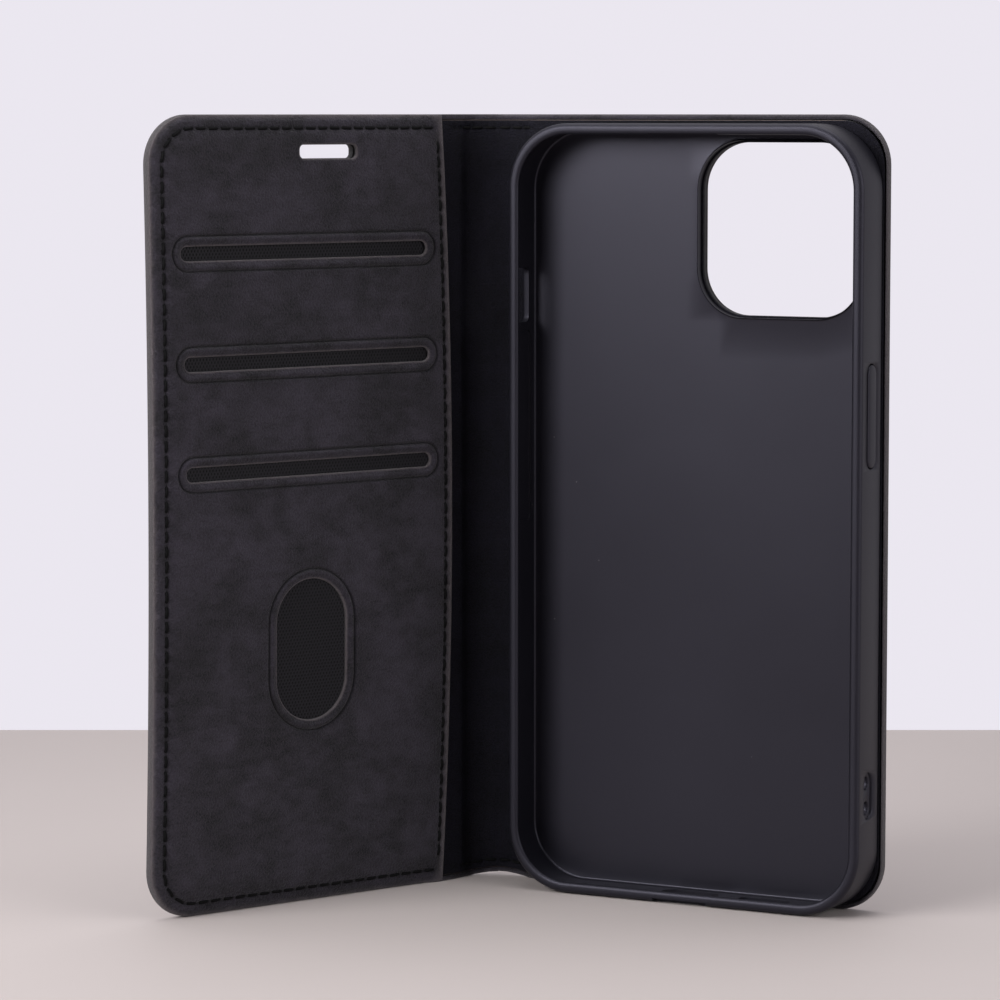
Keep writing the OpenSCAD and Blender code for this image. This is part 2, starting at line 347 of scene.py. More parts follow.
@dataclass(frozen=True)
class CoverOutline:
    """A sheet's outline: cut along start, and round at its two free corners."""

    start: float
    end: float
    low: float
    high: float
    radius: float
    raw_start: bool = False
    bow: float = 0.0
    bow_z: float = 74.5

    def edge(self, z: Array | float) -> Array:
        """The cut edge's q at each height."""
        return self.start + self.bow * ((np.asarray(z, float) - self.bow_z) / self.bow_z) ** 2

    def loop(self, inset: float = 0.0, step: float = 2.0) -> Array:
        """Points round the outline, anticlockwise, inset from every raw edge.

        Args:
            inset: How far inside the edges it runs.
            step: The spacing of the points.

        Returns:
            One row of q and z for each point.
        """
        low, high, end = self.low + inset, self.high - inset, self.end - inset
        r, turns = self.radius - inset, 14
        side = inset if self.raw_start else 0.0
        corner_q = self.end - self.radius
        points: list[tuple[float, float]] = []

        def run(a: tuple[float, float], b: tuple[float, float]) -> None:
            """Adds a straight run.

            Args:
                a: Its first point.
                b: Its end, which is left out.
            """
            pieces = max(1, math.ceil(math.dist(a, b) / step))
            for k in range(pieces):
                points.append(
                    (a[0] + (b[0] - a[0]) * k / pieces, a[1] + (b[1] - a[1]) * k / pieces)
                )

        def arc(cz: float, first: float) -> None:
            """Adds a quarter turn round a corner.

            Args:
                cz: The height of the corner's middle.
                first: The first angle.
            """
            for k in range(turns):
                a = first + math.pi / 2 * k / turns
                points.append((corner_q + r * math.cos(a), cz + r * math.sin(a)))

        run((float(self.edge(low)) + side, low), (corner_q, low))
        arc(self.low + self.radius, -math.pi / 2)
        run((end, self.low + self.radius), (end, self.high - self.radius))
        arc(self.high - self.radius, 0.0)
        run((corner_q, high), (float(self.edge(high)) + side, high))
        pieces = math.ceil((high - low) / step)
        for k in range(pieces):
            z = high + (low - high) * k / pieces
            points.append((float(self.edge(z)) + side, z))
        return np.array(points)

    def inside(self, p: Array) -> Array:
        """The distance of points from the nearest raw edge, positive inside.

        Args:
            p: Rows of q and z.

        Returns:
            One distance for each point.
        """
        q, z = p.T
        d = np.minimum(np.minimum(z - self.low, self.high - z), self.end - q)
        cq = self.end - self.radius
        for cz, sign in ((self.low + self.radius, -1), (self.high - self.radius, 1)):
            corner = (q > cq) & ((z - cz) * sign > 0)
            d = np.where(corner, self.radius - np.hypot(q - cq, z - cz), d)
        if self.raw_start:
            d = np.minimum(d, q - self.edge(z))
        return d

    def holds(self, p: Array) -> Array:
        """Whether each point lies within the outline."""
        return (self.inside(p) > -1e-6) & (p[:, 0] > self.edge(p[:, 1]) - 1e-6)


@dataclass(frozen=True)
class Seam:
    """A line of stitches on a sheet."""

    points: Array
    pitch: float = 2.83
    dash: float = 1.7

    def resampled(self, step: float) -> Array:
        """The line's points at an even step.

        Args:
            step: The spacing of the points.

        Returns:
            One row of q and z for each point.
        """
        d = np.concatenate([[0], np.cumsum(np.hypot(*np.diff(self.points, axis=0).T))])
        s = np.linspace(0, d[-1], max(2, round(d[-1] / step) + 1))
        return np.stack([np.interp(s, d, self.points[:, i]) for i in (0, 1)], 1)

    def run(self) -> Array:
        """The line from the first stitch's middle to the last one's.

        Returns:
            Four points for each pitch; every fourth one is the middle of a stitch.
        """
        fine = self.resampled(0.2)
        d = np.concatenate([[0], np.cumsum(np.hypot(*np.diff(fine, axis=0).T))])
        count = int(d[-1] // self.pitch)
        lead = (d[-1] - (count - 1) * self.pitch) / 2
        s = np.linspace(lead, d[-1] - lead, 4 * (count - 1) + 1)
        return np.stack([np.interp(s, d, fine[:, i]) for i in (0, 1)], 1)

    def middles(self) -> Array:
        """The middle of each stitch."""
        return self.run()[::4]

    def holes(self) -> Array:
        """The needle holes at the ends of the stitches.

        Returns:
            One row of q and z for each hole.
        """
        run = self.run()
        d = np.gradient(run, axis=0)[::4]
        d /= np.hypot(*d.T)[:, None]
        return np.concatenate([run[::4] - d * self.dash / 2, run[::4] + d * self.dash / 2])

    def offsets(self, distances: Iterable[float], step: float) -> list[Array]:
        """Lines parallel to the seam, on both sides.

        Args:
            distances: How far each line lies from the seam.
            step: The spacing of the points.

        Returns:
            One line for each distance.
        """
        p = self.resampled(step)
        d = np.gradient(p, axis=0)
        d /= np.hypot(*d.T)[:, None]
        n = np.stack([-d[:, 1], d[:, 0]], 1)
        return [p + n * o for o in distances]


def edge_seam(outline: CoverOutline, start: float, inset: float) -> Seam:
    """The seam that follows a sheet's three free edges.

    Args:
        outline: The sheet's outline.
        start: Where the seam starts.
        inset: How far inside the edges it runs.

    Returns:
        The seam.
    """
    loop = replace(outline, raw_start=False, start=start, bow=0.0).loop(inset, 1.0)
    keep = loop[loop[:, 0] > start + 0.01]
    first = np.array([[start, loop[0, 1]]])
    last = np.array([[start, keep[-1, 1]]])
    return Seam(np.concatenate([first, keep, last]))


# ---- meshes ----


def mesh_object(name: str, points: Array, faces: Sequence[Sequence[int]]) -> bpy.types.Object:
    """A smooth-shaded mesh object in the scene.

    Args:
        name: The piece's name.
        points: One row of x, y and z for each vertex, in millimetres.
        faces: The vertices of each face.

    Returns:
        The new object, at the origin.
    """
    mesh = bpy.data.meshes.new(name)
    mesh.from_pydata(
        (np.asarray(points, float) * MM).tolist(), [], [list(map(int, f)) for f in faces]
    )
    mesh.validate()
    mesh.shade_smooth()
    mesh.set_sharp_from_angle(angle=SHARP)
    piece = bpy.data.objects.new(name, mesh)
    bpy.context.scene.collection.objects.link(piece)
    return piece


def store(piece: bpy.types.Object, name: str, values: Array) -> None:
    """Keeps one number, or one vector, for each vertex of a piece.

    Args:
        piece: The piece.
        name: Its name.
        values: One number, or one row of three, for each vertex.
    """
    kind = "FLOAT_VECTOR" if values.ndim == 2 else "FLOAT"
    attribute = piece.data.attributes.new(name, kind, "POINT")
    key = "vector" if values.ndim == 2 else "value"
    attribute.data.foreach_set(key, values.astype(np.float32).ravel())


def dress(piece: bpy.types.Object, material: bpy.types.Material, slot: Slot) -> bpy.types.Object:
    """Gives a piece its material.

    Args:
        piece: The piece.
        material: Its material.
        slot: Not used.

    Returns:
        The same piece.
    """
    piece.data.materials.clear()
    piece.data.materials.append(material)
    return piece


def clear_of(hole: RoundBox, step: float, p: Array) -> Array:
    """Whether points lie outside a hole's own many-sided outline.

    Args:
        hole: The hole.
        step: The spacing of the points.
        p: Rows of q and z.

    Returns:
        True for each point that lies outside it.
    """
    loop = hole.loop(0.0, step)
    near = np.nonzero(hole.outside(p) < 0.4)[0]
    inside = np.zeros(len(p), bool)
    x, y = p[near, 0][:, None], p[near, 1][:, None]
    x0, y0 = loop.T
    x1, y1 = np.roll(loop, -1, 0).T
    crossing = (y0 > y) != (y1 > y)
    with np.errstate(divide="ignore", invalid="ignore"):
        at = x0 + (y - y0) * (x1 - x0) / (y1 - y0)
    inside[near] = (crossing & (x < at)).sum(1) % 2 == 1
    return ~inside


def flat_triangles(
    lines: Sequence[tuple[Array, bool]], loose: Array, keep: Callable[[Array], Array]
) -> tuple[Array, Array]:
    """Fills a flat drawing with triangles.

    Args:
        lines: The lines that triangles may not cross, and whether each is closed.
        loose: Points between the lines.
        keep: Says which triangles stay, from their middles.

    Returns:
        The points, and the triangles, anticlockwise.
    """
    edges: list[tuple[int, int]] = []
    start = 0
    for p, closed in lines:
        n = len(p)
        edges += [(start + i, start + i + 1) for i in range(n - 1)]
        if closed:
            edges.append((start + n - 1, start))
        start += n
    flat = np.concatenate([*(p for p, _ in lines), loose])
    made = delaunay_2d_cdt([Vector(p) for p in flat.tolist()], edges, [], 0, 1e-5, False)
    flat = np.array([v[:] for v in made[0]])
    tris = np.array([f[:] for f in made[2]])
    a, b, c = (flat[tris[:, i]] for i in range(3))
    cross = (b - a)[:, 0] * (c - a)[:, 1] - (b - a)[:, 1] * (c - a)[:, 0]
    tris[cross < 0] = tris[cross < 0][:, ::-1]
    tris = tris[keep((a + b + c) / 3) & (np.abs(cross) > 1e-7)]
    used, inverse = np.unique(tris, return_inverse=True)
    return flat[used], inverse.reshape(-1, 3)


@dataclass
class Sheet:
    """A sheet of leather, board or cloth with its holes, pressed lines and rounded edges."""

    name: str
    outline: CoverOutline
    low: Callable[[Array], Array]
    top: Callable[[Array], Array]
    holes: Sequence[RoundBox] = ()
    seams: Sequence[Seam] = ()
    columns: Sequence[float] = ()
    round_edge: float = 0.3
    round_low: bool = True
    round_top: bool = True
    edge_rings: Sequence[float] = ()
    # Painted shade in pressed dents: 0 to 1 at each point, darkening the leather's colour there.
    dent_shade_of: Callable[[Array], Array] | None = None
    worn_from: Callable[[Array], Array] | None = None
    rings: Sequence[float] = ()
    grid: float = 3.0
    seam_offsets: Sequence[float] = (-0.55, -0.3, 0.0, 0.3, 0.55)
    seam_step: float = 0.45
    hole_step: float = 0.6

    def edge_steps(self) -> list[float]:
        """Distances from an edge at which its rounding is drawn."""
        return [
            self.round_edge * (1 - math.cos(a)) for a in (0, math.pi / 6, math.pi / 3, math.pi / 2)
        ]

    def edge_distance(self, p: Array) -> Array:
        """The distance of points from the nearest raw edge or hole.

        Args:
            p: Rows of q and z.

        Returns:
            One distance for each point.
        """
        d = self.outline.inside(p)
        for hole in self.holes:
            d = np.minimum(d, hole.outside(p))
        return d

    def net(self) -> tuple[Array, Array]:
        """The sheet's flat net.

        Returns:
            Its points as rows of q and z, and its triangles, anticlockwise.
        """
        lines: list[tuple[Array, bool]] = []
        steps = self.edge_steps() if self.round_edge > 0 else [0.0]
        lines += [(self.outline.loop(d), True) for d in [*steps, *self.edge_rings]]
        for hole in self.holes:
            lines += [(hole.loop(-d, self.hole_step), True) for d in [*steps, *self.rings]]
        for seam in self.seams:
            for line in seam.offsets(self.seam_offsets, self.seam_step):
                keep = self.edge_distance(line) > max(steps) + 0.05
                lines += [(run, False) for run in self._runs(line, keep)]
        points = np.concatenate([p for p, _ in lines])

        def keep_triangle(middle: Array) -> Array:
            """Whether each triangle lies on the sheet, clear of its holes.

            Args:
                middle: Each triangle's middle.

            Returns:
                True for each triangle that stays.
            """
            keep = self.outline.holds(middle)
            for hole in self.holes:
                keep &= clear_of(hole, self.hole_step, middle)
            return keep

        return flat_triangles(lines, self._fill(points), keep_triangle)

    @staticmethod
    def _runs(line: Array, keep: Array) -> list[Array]:
        """The unbroken stretches of a line that are kept.

        Args:
            line: Rows of q and z.
            keep: Whether each point is kept.

        Returns:
            The runs of two points or more.
        """
        runs: list[Array] = []
        i = 0
        while i < len(line):
            j = i
            while j < len(line) and keep[j]:
                j += 1
            if j - i > 1:
                runs.append(line[i:j])
            i = j + 1
        return runs

    def _fill(self, points: Array) -> Array:
        """Loose points that fill the sheet between its lines.

        Args:
            points: The lines' points.

        Returns:
            One row of q and z for each point.
        """
        o = self.outline
        across = np.unique(np.concatenate([np.arange(o.start, o.end, self.grid), self.columns]))
        up = np.arange(o.low, o.high, self.grid)
        p = np.stack(np.meshgrid(across, up, indexing="ij"), -1).reshape(-1, 2)
        p = p[o.holds(p) & (self.edge_distance(p) > 0.5)]
        p = p[p[:, 0] > o.edge(p[:, 1]) + 0.05]
        tree = KDTree(len(points))
        for i, (q, z) in enumerate(points.tolist()):
            tree.insert((q, z, 0), i)
        tree.balance()
        loose = [c for c in p.tolist() if tree.find((c[0], c[1], 0))[2] > 0.3]
        return np.array(loose).reshape(-1, 2)

    def build(self, wing: Wing) -> bpy.types.Object:
        """Makes the closed sheet and brings it to its place.

        Args:
            wing: The half of the cover that it belongs to.

        Returns:
            The new piece, with its flat place and its edge rub kept on each vertex.
        """
        flat, tris = self.net()
        edge = self.edge_distance(flat)
        r = self.round_edge
        over = np.maximum(r - edge, 0)
        drop = r - np.sqrt(np.maximum(r * r - over**2, 0))
        top = self.top(flat) - (drop if self.round_top else 0)
        low = self.low(flat) + (drop if self.round_low else 0)
        n = len(flat)
        sides = np.concatenate([tris[:, [0, 1]], tris[:, [1, 2]], tris[:, [2, 0]]])
        key = {(int(a), int(b)) for a, b in sides}
        rim = [(a, b) for a, b in key if (b, a) not in key]
        faces: list[list[int]] = [list(t) for t in tris] + [
            [x + n for x in t[::-1]] for t in tris.tolist()
        ]
        faces += [[b, a, a + n, b + n] for a, b in rim]
        if not wing.front:
            faces = [f[::-1] for f in faces]
        q, z = np.tile(flat, (2, 1)).T
        t = np.concatenate([low, top])
        piece = mesh_object(self.name, wing.place(q, z, t), faces)
        store(piece, "place", np.column_stack([q, z, t]) * MM)
        worn = self.worn_from(flat) if self.worn_from else edge
        store(piece, "rub", np.tile(np.exp(-np.maximum(worn, 0) / 0.8), 2))
        # Painted shade in the stitch dents and slot grooves, kept on each vertex.
        store(piece, "dent_shade", np.tile(self.dent_shade_of(flat) if self.dent_shade_of else flat[:, 0] * 0, 2))
        return piece


def closed_stack(name: str, loops: Sequence[Array]) -> bpy.types.Object:
    """A closed shape through loops with the same number of points, with a flat cap at each end.

    Args:
        name: Its name.
        loops: The loops, from one end to the other.

    Returns:
        The new piece.
    """
    n = len(loops[0])
    faces: list[list[int]] = [
        list(range(n))[::-1], list(range((len(loops) - 1) * n, len(loops) * n))
    ]
    for k in range(len(loops) - 1):
        for i in range(n):
            j = (i + 1) % n
            faces.append([k * n + i, k * n + j, (k + 1) * n + j, (k + 1) * n + i])
    piece = mesh_object(name, np.concatenate(loops), faces)
    face_outwards(piece)
    return piece


def face_outwards(piece: bpy.types.Object) -> None:
    """Merges doubles and turns the faces of a closed mesh outwards.

    Args:
        piece: The piece.
    """
    work = bmesh.new()
    work.from_mesh(piece.data)
    bmesh.ops.remove_doubles(work, verts=work.verts, dist=1e-7)
    bmesh.ops.recalc_face_normals(work, faces=work.faces)
    work.to_mesh(piece.data)
    work.free()
    piece.data.shade_smooth()
    piece.data.set_sharp_from_angle(angle=SHARP)


def settle(piece: bpy.types.Object) -> None:
    """Applies a piece's modifiers, so that its mesh is final.

    Args:
        piece: The piece.
    """
    graph = bpy.context.evaluated_depsgraph_get()
    made = bpy.data.meshes.new_from_object(piece.evaluated_get(graph), depsgraph=graph)
    made.name = piece.name
    piece.modifiers.clear()
    piece.data = made


def join_pieces(name: str, pieces: Sequence[bpy.types.Object]) -> bpy.types.Object:
    """One object that holds the meshes of several, which are removed.

    Args:
        name: Its name.
        pieces: The objects to join.

    Returns:
        The new piece.
    """
    work = bmesh.new()
    for piece in pieces:
        work.from_mesh(piece.data)
    mesh = bpy.data.meshes.new(name)
    work.to_mesh(mesh)
    work.free()
    for piece in pieces:
        bpy.data.objects.remove(piece)
    whole = bpy.data.objects.new(name, mesh)
    bpy.context.scene.collection.objects.link(whole)
    mesh.set_sharp_from_angle(angle=SHARP)
    return whole


# ---- node trees ----


class Tree:
    """Short calls for adding and joining the nodes of one tree."""

    def __init__(self, tree: bpy.types.NodeTree) -> None:
        """Starts with an empty tree."""
        self.tree = tree
        tree.nodes.clear()

    def add(self, kind: str, inputs: dict | None = None, **settings: object) -> bpy.types.Node:
        """Adds a node.

        Args:
            kind: The node's type name.
            inputs: Values or sockets for its inputs, by name or number.
            **settings: The node's own properties.

        Returns:
            The node.
        """
        node = self.tree.nodes.new(kind)
        for key, value in settings.items():
            setattr(node, key, value)
        for key, value in (inputs or {}).items():
            if isinstance(value, bpy.types.NodeSocket):
                self.link(value, node.inputs[key])
            else:
                node.inputs[key].default_value = value
        return node

    def link(self, source: bpy.types.NodeSocket, target: bpy.types.NodeSocket) -> None:
        """Joins two sockets."""
        self.tree.links.new(source, target)

    def math(
        self, operation: str, a: object, b: object = 0.0, clamp: bool = False
    ) -> bpy.types.NodeSocket:
        """The result of a Math node."""
        node = self.add("ShaderNodeMath", {0: a, 1: b}, operation=operation, use_clamp=clamp)
        return node.outputs[0]

    def noise(
        self, vector: object, scale: object, detail: float = 3.0, rough: float = 0.5
    ) -> bpy.types.NodeSocket:
        """The grey value of a noise."""
        inputs = {"Vector": vector, "Scale": scale, "Detail": detail, "Roughness": rough}
        return self.add("ShaderNodeTexNoise", inputs).outputs[0]

    def fit(
        self, value: object, low: float, high: float, to_low: float = 0.0, to_high: float = 1.0
    ) -> bpy.types.NodeSocket:
        """A value brought from one range to another, and held within it."""
        inputs = {
            "Value": value, "From Min": low, "From Max": high, "To Min": to_low, "To Max": to_high
        }
        return self.add("ShaderNodeMapRange", inputs).outputs[0]

    def blend(self, share: object, a: object, b: object) -> bpy.types.NodeSocket:
        """A colour between a and b."""
        a, b = (x if isinstance(x, bpy.types.NodeSocket) else (*x, 1.0) for x in (a, b))
        return self.add("ShaderNodeMix", {0: share, 6: a, 7: b}, data_type="RGBA").outputs[2]

    def stretched(self, vector: object, scale: tuple[float, float, float]) -> bpy.types.NodeSocket:
        """A vector scaled along each axis."""
        return self.add("ShaderNodeMapping", {"Vector": vector, "Scale": scale}).outputs[0]


class Effect(Enum):
    """The shared surface effects, each one node group."""

    HIDE = "brushed_hide"
    RUB = "edge_rub"
    MESH = "woven_mesh"
    MOULD = "moulded_skin"
    DUST = "fine_dust"


def new_group(
    effect: Effect, inputs: dict[str, object], outputs: dict[str, str]
) -> tuple[Tree, dict, bpy.types.Node]:
    """Starts a shader node group.

    Args:
        effect: Which effect it makes.
        inputs: The name and default of each input; a default of None makes a vector.
        outputs: The name and socket type of each output.

    Returns:
        The tree, its input sockets by name, and its output node.
    """
    group = bpy.data.node_groups.new(effect.value, "ShaderNodeTree")
    for name, default in inputs.items():
        kind = "NodeSocketVector" if default is None else "NodeSocketFloat"
        socket = group.interface.new_socket(name=name, in_out="INPUT", socket_type=kind)
        if default is not None:
            socket.default_value = default
    for name, kind in outputs.items():
        group.interface.new_socket(name=name, in_out="OUTPUT", socket_type=kind)
    tree = Tree(group)
    source = tree.add("NodeGroupInput")
    return tree, {s.name: s for s in source.outputs if s.name}, tree.add("NodeGroupOutput")


def hide_group() -> bpy.types.NodeTree:
    """Cloudy brushed leather: patches where the nap lies differently, and a fine fibre.

    Returns:
        The node group.
    """
    tree, i, out = new_group(
        Effect.HIDE,
        {"Vector": None, "Cloud Scale": 80.0, "Fibre Scale": 2300.0},
        {"Tone": "NodeSocketFloat", "Fibre": "NodeSocketFloat", "Height": "NodeSocketFloat"},
    )
    cloud = tree.fit(tree.noise(i["Vector"], i["Cloud Scale"], 6.0, 0.68), 0.42, 0.60)
    stroke_vector = tree.stretched(i["Vector"], (1.0, 1.9, 1.0))
    stroke = tree.fit(
        tree.noise(stroke_vector, tree.math("MULTIPLY", i["Cloud Scale"], 3.3), 4.0), 0.38, 0.63
    )
    fibre = tree.fit(tree.noise(i["Vector"], i["Fibre Scale"], 3.0, 0.7), 0.38, 0.63)
    nap = tree.noise(i["Vector"], tree.math("MULTIPLY", i["Fibre Scale"], 0.28), 4.0, 0.65)
    tone = tree.math("ADD", tree.math("MULTIPLY", cloud, 0.62), tree.math("MULTIPLY", stroke, 0.38))
    height = tree.math("ADD", tree.math("MULTIPLY", fibre, 0.55), tree.math("MULTIPLY", nap, 0.45))
    tree.link(tone, out.inputs["Tone"])
    tree.link(fibre, out.inputs["Fibre"])
    tree.link(height, out.inputs["Height"])
    return tree.tree


def rub_group() -> bpy.types.NodeTree:
    """Worn edges: the mask near an edge, broken up by a noise.

    Returns:
        The node group.
    """
    tree, i, out = new_group(
        Effect.RUB,
        {"Vector": None, "Mask": 0.0, "Start": 0.45},
        {"Worn": "NodeSocketFloat", "Raw": "NodeSocketFloat"},
    )
    broken = tree.fit(tree.noise(i["Vector"], 420.0, 4.0, 0.7), 0.25, 0.75, -0.14, 0.14)
    mask = tree.math("ADD", i["Mask"], broken)
    worn = tree.math("SUBTRACT", mask, i["Start"])
    worn = tree.math("MULTIPLY", worn, 2.2, clamp=True)
    tree.link(worn, out.inputs["Worn"])
    tree.link(tree.fit(i["Mask"], 0.9, 0.97), out.inputs["Raw"])
    return tree.tree


def mesh_group() -> bpy.types.NodeTree:
    """An open woven mesh: rows of small tall holes, each row set off from the next.

    Returns:
        The node group.
    """
    tree, i, out = new_group(
        Effect.MESH,
        {"Vector": None, "Across": 0.000745, "Up": 0.00127},
        {"Thread": "NodeSocketFloat", "Height": "NodeSocketFloat"},
    )
    parts = tree.add("ShaderNodeSeparateXYZ", {0: i["Vector"]}).outputs
    waves = [
        tree.math(
            "SINE", tree.math("DIVIDE", tree.math("MULTIPLY", parts[axis], math.tau), i[pitch])
        )
        for axis, pitch in ((0, "Across"), (1, "Up"))
    ]
    product = tree.math("MULTIPLY", waves[0], waves[1])
    cloth = tree.fit(product, -0.75, -0.05)
    tree.link(cloth, out.inputs["Thread"])
    fuzz = tree.noise(i["Vector"], 9000.0, 2.0)
    tree.link(tree.math("ADD", cloth, tree.math("MULTIPLY", fuzz, 0.25)), out.inputs["Height"])
    return tree.tree


def mould_group() -> bpy.types.NodeTree:
    """The fine satin skin of moulded rubber, with slow tone changes.

    Returns:
        The node group.
    """
    tree, i, out = new_group(
        Effect.MOULD,
        {"Vector": None, "Skin Scale": 5200.0},
        {"Tone": "NodeSocketFloat", "Height": "NodeSocketFloat"},
    )
    slow = tree.fit(tree.noise(i["Vector"], 22.0, 3.0, 0.6), 0.3, 0.7)
    fine = tree.noise(i["Vector"], i["Skin Scale"], 2.0, 0.6)
    tree.link(slow, out.inputs["Tone"])
    tree.link(fine, out.inputs["Height"])
    return tree.tree


def dust_group() -> bpy.types.NodeTree:
    """A few pale specks of dust.

    Returns:
        The node group.
    """
    tree, i, out = new_group(
        Effect.DUST, {"Vector": None, "Size": 0.032}, {"Speck": "NodeSocketFloat"}
    )
    cells = tree.add("ShaderNodeTexVoronoi", {"Vector": i["Vector"], "Scale": 210.0})
    near = tree.math("LESS_THAN", cells.outputs["Distance"], i["Size"])
    shade = tree.add("ShaderNodeSeparateColor", {0: cells.outputs["Color"]}).outputs[0]
    tree.link(
        tree.math("MULTIPLY", near, tree.math("GREATER_THAN", shade, 0.86)), out.inputs["Speck"]
    )
    return tree.tree


MAKERS: dict[Effect, Callable[[], bpy.types.NodeTree]] = {
    Effect.HIDE: hide_group,
    Effect.RUB: rub_group,
    Effect.MESH: mesh_group,
    Effect.MOULD: mould_group,
    Effect.DUST: dust_group,
}


def placed(tree: Tree, effect: Effect, inputs: dict[str, object]) -> bpy.types.Node:
    """Places a shared effect in a material, and builds its group the first time.

    Args:
        tree: The material's tree.
        effect: Which effect it is.
        inputs: Values or sockets for its inputs, by name.

    Returns:
        The group's node.
    """
    group = bpy.data.node_groups.get(effect.value) or MAKERS[effect]()
    node = tree.add("ShaderNodeGroup", node_tree=group)
    for name, value in inputs.items():
        if isinstance(value, bpy.types.NodeSocket):
            tree.link(value, node.inputs[name])
        else:
            node.inputs[name].default_value = value
    return node


def new_material(name: str) -> tuple[bpy.types.Material, Tree, bpy.types.Node]:
    """A material with its tree and its shader.

    Args:
        name: Its name.

    Returns:
        The material, its tree and its Principled node.
    """
    material = bpy.data.materials.new(name)
    material.use_nodes = True
    tree = Tree(material.node_tree)
    shader = tree.add("ShaderNodeBsdfPrincipled")
    tree.add("ShaderNodeOutputMaterial", {"Surface": shader.outputs[0]})
    return material, tree, shader


def own_place(tree: Tree) -> bpy.types.NodeSocket:
    """A sheet's flat place, which its pattern follows."""
    return tree.add("ShaderNodeAttribute", attribute_name="place").outputs["Vector"]


def own_value(tree: Tree, name: str) -> bpy.types.NodeSocket:
    """A number kept on the piece."""
    return tree.add("ShaderNodeAttribute", attribute_name=name).outputs["Fac"]


def object_place(tree: Tree) -> bpy.types.NodeSocket:
    """The place on a rigid piece."""
    return tree.add("ShaderNodeTexCoord").outputs["Object"]


def relief(tree: Tree, shader: bpy.types.Node, height: object, depth: float) -> None:
    """Gives a shader fine relief, depth metres high."""
    node = tree.add("ShaderNodeBump", {"Height": height, "Distance": depth, "Strength": 1.0})
    tree.link(node.outputs[0], shader.inputs["Normal"])


# ---- finishes ----


@dataclass(frozen=True)
class LeatherFinish:
    """Brushed or smooth leather with worn and raw edges, and painted shade in its dents."""

    name: str
    deep: Colour
    pale: Colour
    worn: Colour
    raw: Colour
    roughness: float = 0.82
    gloss: float = 0.22
    sheen: float = 0.1
    speckle: float = 0.38
    cloud: float = 80.0
    fibre: float = 2300.0
    depth: float = 0.0002
    wear_start: float = 0.45
    # A near-black colour for the painted shade in stitch dents and slot grooves.
    dent_shade_colour: Colour = (0.0016, 0.0016, 0.002)

    def material(self) -> bpy.types.Material:
        """Builds the material.

        Returns:
            The material.
        """
        material, tree, shader = new_material(self.name)
        place = own_place(tree)
        hide = placed(
            tree,
            Effect.HIDE,
            {"Vector": place, "Cloud Scale": self.cloud, "Fibre Scale": self.fibre},
        )
        # The painted shade in dents, read from each vertex.
        dent_shade = own_value(tree, "dent_shade")
        rub = placed(
            tree,
            Effect.RUB,
            {"Vector": place, "Mask": own_value(tree, "rub"), "Start": self.wear_start},
        )
        patch = tree.math("MULTIPLY", hide.outputs["Tone"], 1 - self.speckle)
        speckle = tree.math("MULTIPLY", hide.outputs["Fibre"], self.speckle)
        colour = tree.blend(tree.math("ADD", patch, speckle, clamp=True), self.deep, self.pale)
        colour = tree.blend(tree.math("MULTIPLY", rub.outputs["Worn"], 0.7), colour, self.worn)
        colour = tree.blend(rub.outputs["Raw"], colour, self.raw)
        # Painted shade: the colour is darkened towards near black in stitch channels, needle holes
        # and slot grooves.
        colour = tree.blend(tree.math("MULTIPLY", dent_shade, 0.92), colour, self.dent_shade_colour)
        tree.link(colour, shader.inputs["Base Color"])
        rough = tree.fit(
            hide.outputs["Tone"], 0.0, 1.0, self.roughness - 0.06, self.roughness + 0.06
        )
        tree.link(rough, shader.inputs["Roughness"])
        shader.inputs["Specular IOR Level"].default_value = self.gloss
        shader.inputs["Sheen Weight"].default_value = self.sheen
        shader.inputs["Sheen Roughness"].default_value = 0.5
        relief(tree, shader, hide.outputs["Height"], self.depth)
        return material


@dataclass(frozen=True)
class MouldedFinish:
    """Satin moulded rubber, with one roughness for its floor and one for its walls."""

    name: str
    deep: Colour = (0.0034, 0.0033, 0.0052)
    pale: Colour = (0.0052, 0.0050, 0.0076)
    tint: Colour = (0.83, 0.80, 1.0)
    dust: Colour = (0.07, 0.068, 0.07)
    gloss: float = 0.39
    floor_rough: float = 0.40
    wall_rough: float = 0.47
    depth: float = 0.000004

    def material(self) -> bpy.types.Material:
        """Builds the material.

        Returns:
            The material.
        """
        material, tree, shader = new_material(self.name)
        place = object_place(tree)
        skin = placed(tree, Effect.MOULD, {"Vector": place})
        dust = placed(tree, Effect.DUST, {"Vector": place})
        colour = tree.blend(skin.outputs["Tone"], self.deep, self.pale)
        colour = tree.blend(dust.outputs["Speck"], colour, self.dust)
        tree.link(colour, shader.inputs["Base Color"])
        matt = tree.fit(own_value(tree, "matt"), 0.0, 1.0, self.wall_rough, self.floor_rough)
        varied = tree.fit(skin.outputs["Tone"], 0.0, 1.0, -0.02, 0.03)
        tree.link(tree.math("ADD", matt, varied), shader.inputs["Roughness"])
        shader.inputs["Specular IOR Level"].default_value = self.gloss
        shader.inputs["Specular Tint"].default_value = (*self.tint, 1.0)
        relief(tree, shader, skin.outputs["Height"], self.depth)
        return material


@dataclass(frozen=True)
class WovenFinish:
    """Black mesh cloth for the card sleeves."""

    name: str
    hole: Colour = (0.0006, 0.0005, 0.0008)
    thread: Colour = (0.0070, 0.0062, 0.0092)
    across: float = 0.000745
    up: float = 0.00127

    def material(self) -> bpy.types.Material:
        """Builds the material.

        Returns:
            The material.
        """
        material, tree, shader = new_material(self.name)
        cloth = placed(
            tree, Effect.MESH, {"Vector": own_place(tree), "Across": self.across, "Up": self.up}
        )
        tree.link(
            tree.blend(cloth.outputs["Thread"], self.hole, self.thread), shader.inputs["Base Color"]
        )
        tree.link(
            tree.fit(cloth.outputs["Thread"], 0.0, 1.0, 0.9, 0.55), shader.inputs["Roughness"]
        )
        shader.inputs["Specular IOR Level"].default_value = 0.24
        relief(tree, shader, cloth.outputs["Height"], 0.00012)
        return material


